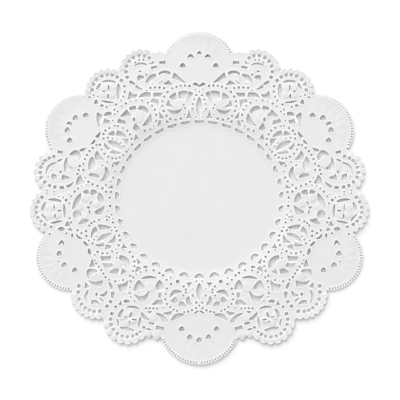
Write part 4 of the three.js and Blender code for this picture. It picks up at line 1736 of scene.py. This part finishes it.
@dataclass
class DoilySheet:
    """The doily: one thin embossed sheet with its openings cut through.

    The paper is turned down at the foot of every cut, as by a punch. Its thickness and
    that depth are in millimetres, and its flat size is in metres.
    """

    pattern: LacePattern
    relief: Relief
    finish: EmbossedPaper
    thickness: float = 0.22
    burr_depth: float = 0.95
    shade_angle: float = 60.0
    flat_width: float = 0.254
    flat_length: float = 0.248
    piece: bpy.types.Object = field(init=False)

    def build(self) -> bpy.types.Object:
        """Builds the closed sheet: upper face, lower face and the walls of every cut.

        Returns:
            The sheet's object.
        """
        mesher = PaperMesh(self.pattern, self.relief)
        upper, lower = mesher.faces()
        LOG.info("upper %d, lower %d triangles", len(upper.triangles), len(lower.triangles))
        upper_z = self.relief.upper(upper.points, upper.distance)
        lower_z = self.relief.upper(lower.points, lower.distance) - self.thickness
        cut_count = len(mesher.boundary)
        lower_z[:cut_count] -= self.burr_depth
        vertices = np.concatenate([
            np.column_stack([upper.points, upper_z]),
            np.column_stack([lower.points, lower_z]),
        ])
        below = len(upper.points)
        faces = [
            *upper.triangles,
            *(tuple(below + corner for corner in reversed(face)) for face in lower.triangles),
            *self.walls(mesher.outlines, below),
        ]
        mesh = bpy.data.meshes.new("paper_doily")
        mesh.from_pydata((vertices * METRES).tolist(), [], faces)
        mesh.validate()
        # mask for the painted shade on the turned-down foot of each cut
        burr_shade_mask = np.zeros(len(vertices))
        burr_shade_mask[below:below + cut_count] = 1
        self.mark(mesh, "cut_distance", np.concatenate([upper.distance, lower.distance]))
        self.mark(mesh, "burr_shade", burr_shade_mask)
        self.mark(mesh, "net", self.relief.net(vertices[:, :2]))
        self.report(mesh)
        self.piece = bpy.data.objects.new("paper_doily", mesh)
        bpy.context.scene.collection.objects.link(self.piece)
        return self.piece

    def walls(self, outlines: list[np.ndarray], below: int) -> Faces:
        """The faces that join the upper and the lower face along every cut.

        Args:
            outlines: The cuts, in the order of their points.
            below: How many points come before those of the lower face.

        Returns:
            Four corners for each step of each cut.
        """
        made: Faces = []
        start = 0
        for outline in outlines:
            count = len(outline)
            for index in range(count):
                a, b = start + index, start + (index + 1) % count
                made.append((below + a, below + b, b, a))
            start += count
        return made

    def mark(self, mesh: bpy.types.Mesh, name: str, values: np.ndarray) -> None:
        """Gives the mesh a number at each point, for its finish to read."""
        attribute = mesh.attributes.new(name, "FLOAT", "POINT")
        attribute.data.foreach_set("value", values.astype(np.float32))

    def report(self, mesh: bpy.types.Mesh) -> None:
        """Logs how many faces and open edges the sheet has, and its volume.

        Args:
            mesh: The finished sheet.
        """
        shell = bmesh.new()
        shell.from_mesh(mesh)
        open_edges = sum(1 for edge in shell.edges if len(edge.link_faces) != 2)
        volume = shell.calc_volume(signed=True) / METRES ** 3
        LOG.info("%d faces, %d open edges, volume %.0f mm3", len(shell.faces), open_edges, volume)
        shell.free()

    def dress(self) -> None:
        self.piece.data.materials.append(self.finish.material())
        bpy.ops.object.select_all(action="DESELECT")
        self.piece.select_set(True)
        bpy.context.view_layer.objects.active = self.piece
        bpy.ops.object.shade_smooth_by_angle(angle=math.radians(self.shade_angle))
        self.piece.select_set(False)
        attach(self.piece, "root")
        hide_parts("doily")
        area = self.pattern.paper_area()
        LOG.info("flat area %.0f mm2", area)


@dataclass
class Studio:
    """The pale floor, the soft light and the camera straight above.

    Sizes are in metres, and the lens and its sensor in millimetres. The middle of the
    photograph lies a little right of and below the sheet's, by so many of its pixels.
    """

    floor_size: float = 14.0
    floor_colour: Colour = (0.96, 0.96, 0.96)
    floor_roughness: float = 0.9
    floor_specular: float = 0.1
    sun_strength: float = 2.0
    sun_softness: float = 50.0
    sun_elevation: float = 50.0
    sun_azimuth: float = 112.0
    sun_distance: float = 2.0
    sky_strength: float = 0.56
    view_width: float = 0.29708
    lens: float = 150.0
    sensor: float = 36.0
    pixel: float = 0.0007427
    right_of_middle: float = 0.75
    below_middle: float = 2.25
    sheet_height: float = 0.003

    def build(self) -> None:
        """Builds the floor, the lights and the camera."""
        self.floor()
        self.lights()
        self.camera()

    def floor(self) -> None:
        """Lays a wide plain floor under the sheet."""
        bpy.ops.object.select_all(action="DESELECT")
        bpy.ops.mesh.primitive_plane_add(size=self.floor_size, location=(0, 0, 0))
        floor = bpy.context.object
        floor.name = "floor"
        made = NodeSet("floor_white")
        shader = made.shader()
        shader.inputs["Base Color"].default_value = (*self.floor_colour, 1)
        shader.inputs["Roughness"].default_value = self.floor_roughness
        shader.inputs["Specular IOR Level"].default_value = self.floor_specular
        floor.data.materials.append(made.material)

    def lights(self) -> None:
        """Sets one soft key light at the upper left and an even sky."""
        scene = bpy.context.scene
        light = bpy.data.lights.new("key", "SUN")
        light.energy = self.sun_strength
        light.angle = math.radians(self.sun_softness)
        key = bpy.data.objects.new("key", light)
        elevation, azimuth = math.radians(self.sun_elevation), math.radians(self.sun_azimuth)
        towards = Vector((
            math.cos(elevation) * math.cos(azimuth),
            math.cos(elevation) * math.sin(azimuth),
            math.sin(elevation),
        ))
        key.rotation_euler = towards.to_track_quat("Z", "Y").to_euler()
        key.location = towards * self.sun_distance
        scene.collection.objects.link(key)
        world = scene.world or bpy.data.worlds.new("world")
        scene.world = world
        world.use_nodes = True
        sky = world.node_tree.nodes["Background"]
        sky.inputs["Color"].default_value = (1, 1, 1, 1)
        sky.inputs["Strength"].default_value = self.sky_strength

    def camera(self) -> None:
        """Sets the camera straight above, framed as the photograph."""
        data = bpy.data.cameras.new("camera")
        data.lens = self.lens
        data.sensor_width = self.sensor
        camera = bpy.data.objects.new("camera", data)
        height = self.view_width * self.lens / self.sensor + self.sheet_height
        camera.location = (
            self.right_of_middle * self.pixel, -self.below_middle * self.pixel, height)
        camera.rotation_euler = (0, 0, 0)
        bpy.context.scene.collection.objects.link(camera)
        bpy.context.scene.camera = camera


def main() -> None:
    """Builds the doily and its studio."""
    logging.basicConfig(level=logging.INFO, format="%(name)s: %(message)s")
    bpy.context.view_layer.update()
    pattern = LacePattern()
    doily = DoilySheet(pattern, Relief(pattern.ring), EmbossedPaper())
    piece = doily.build()
    doily.dress()
    LOG.info("sheet %s built", piece.name)
    bpy.context.scene.view_settings.view_transform = "Standard"
    Studio().build()


if __name__ == "__main__":
    main()
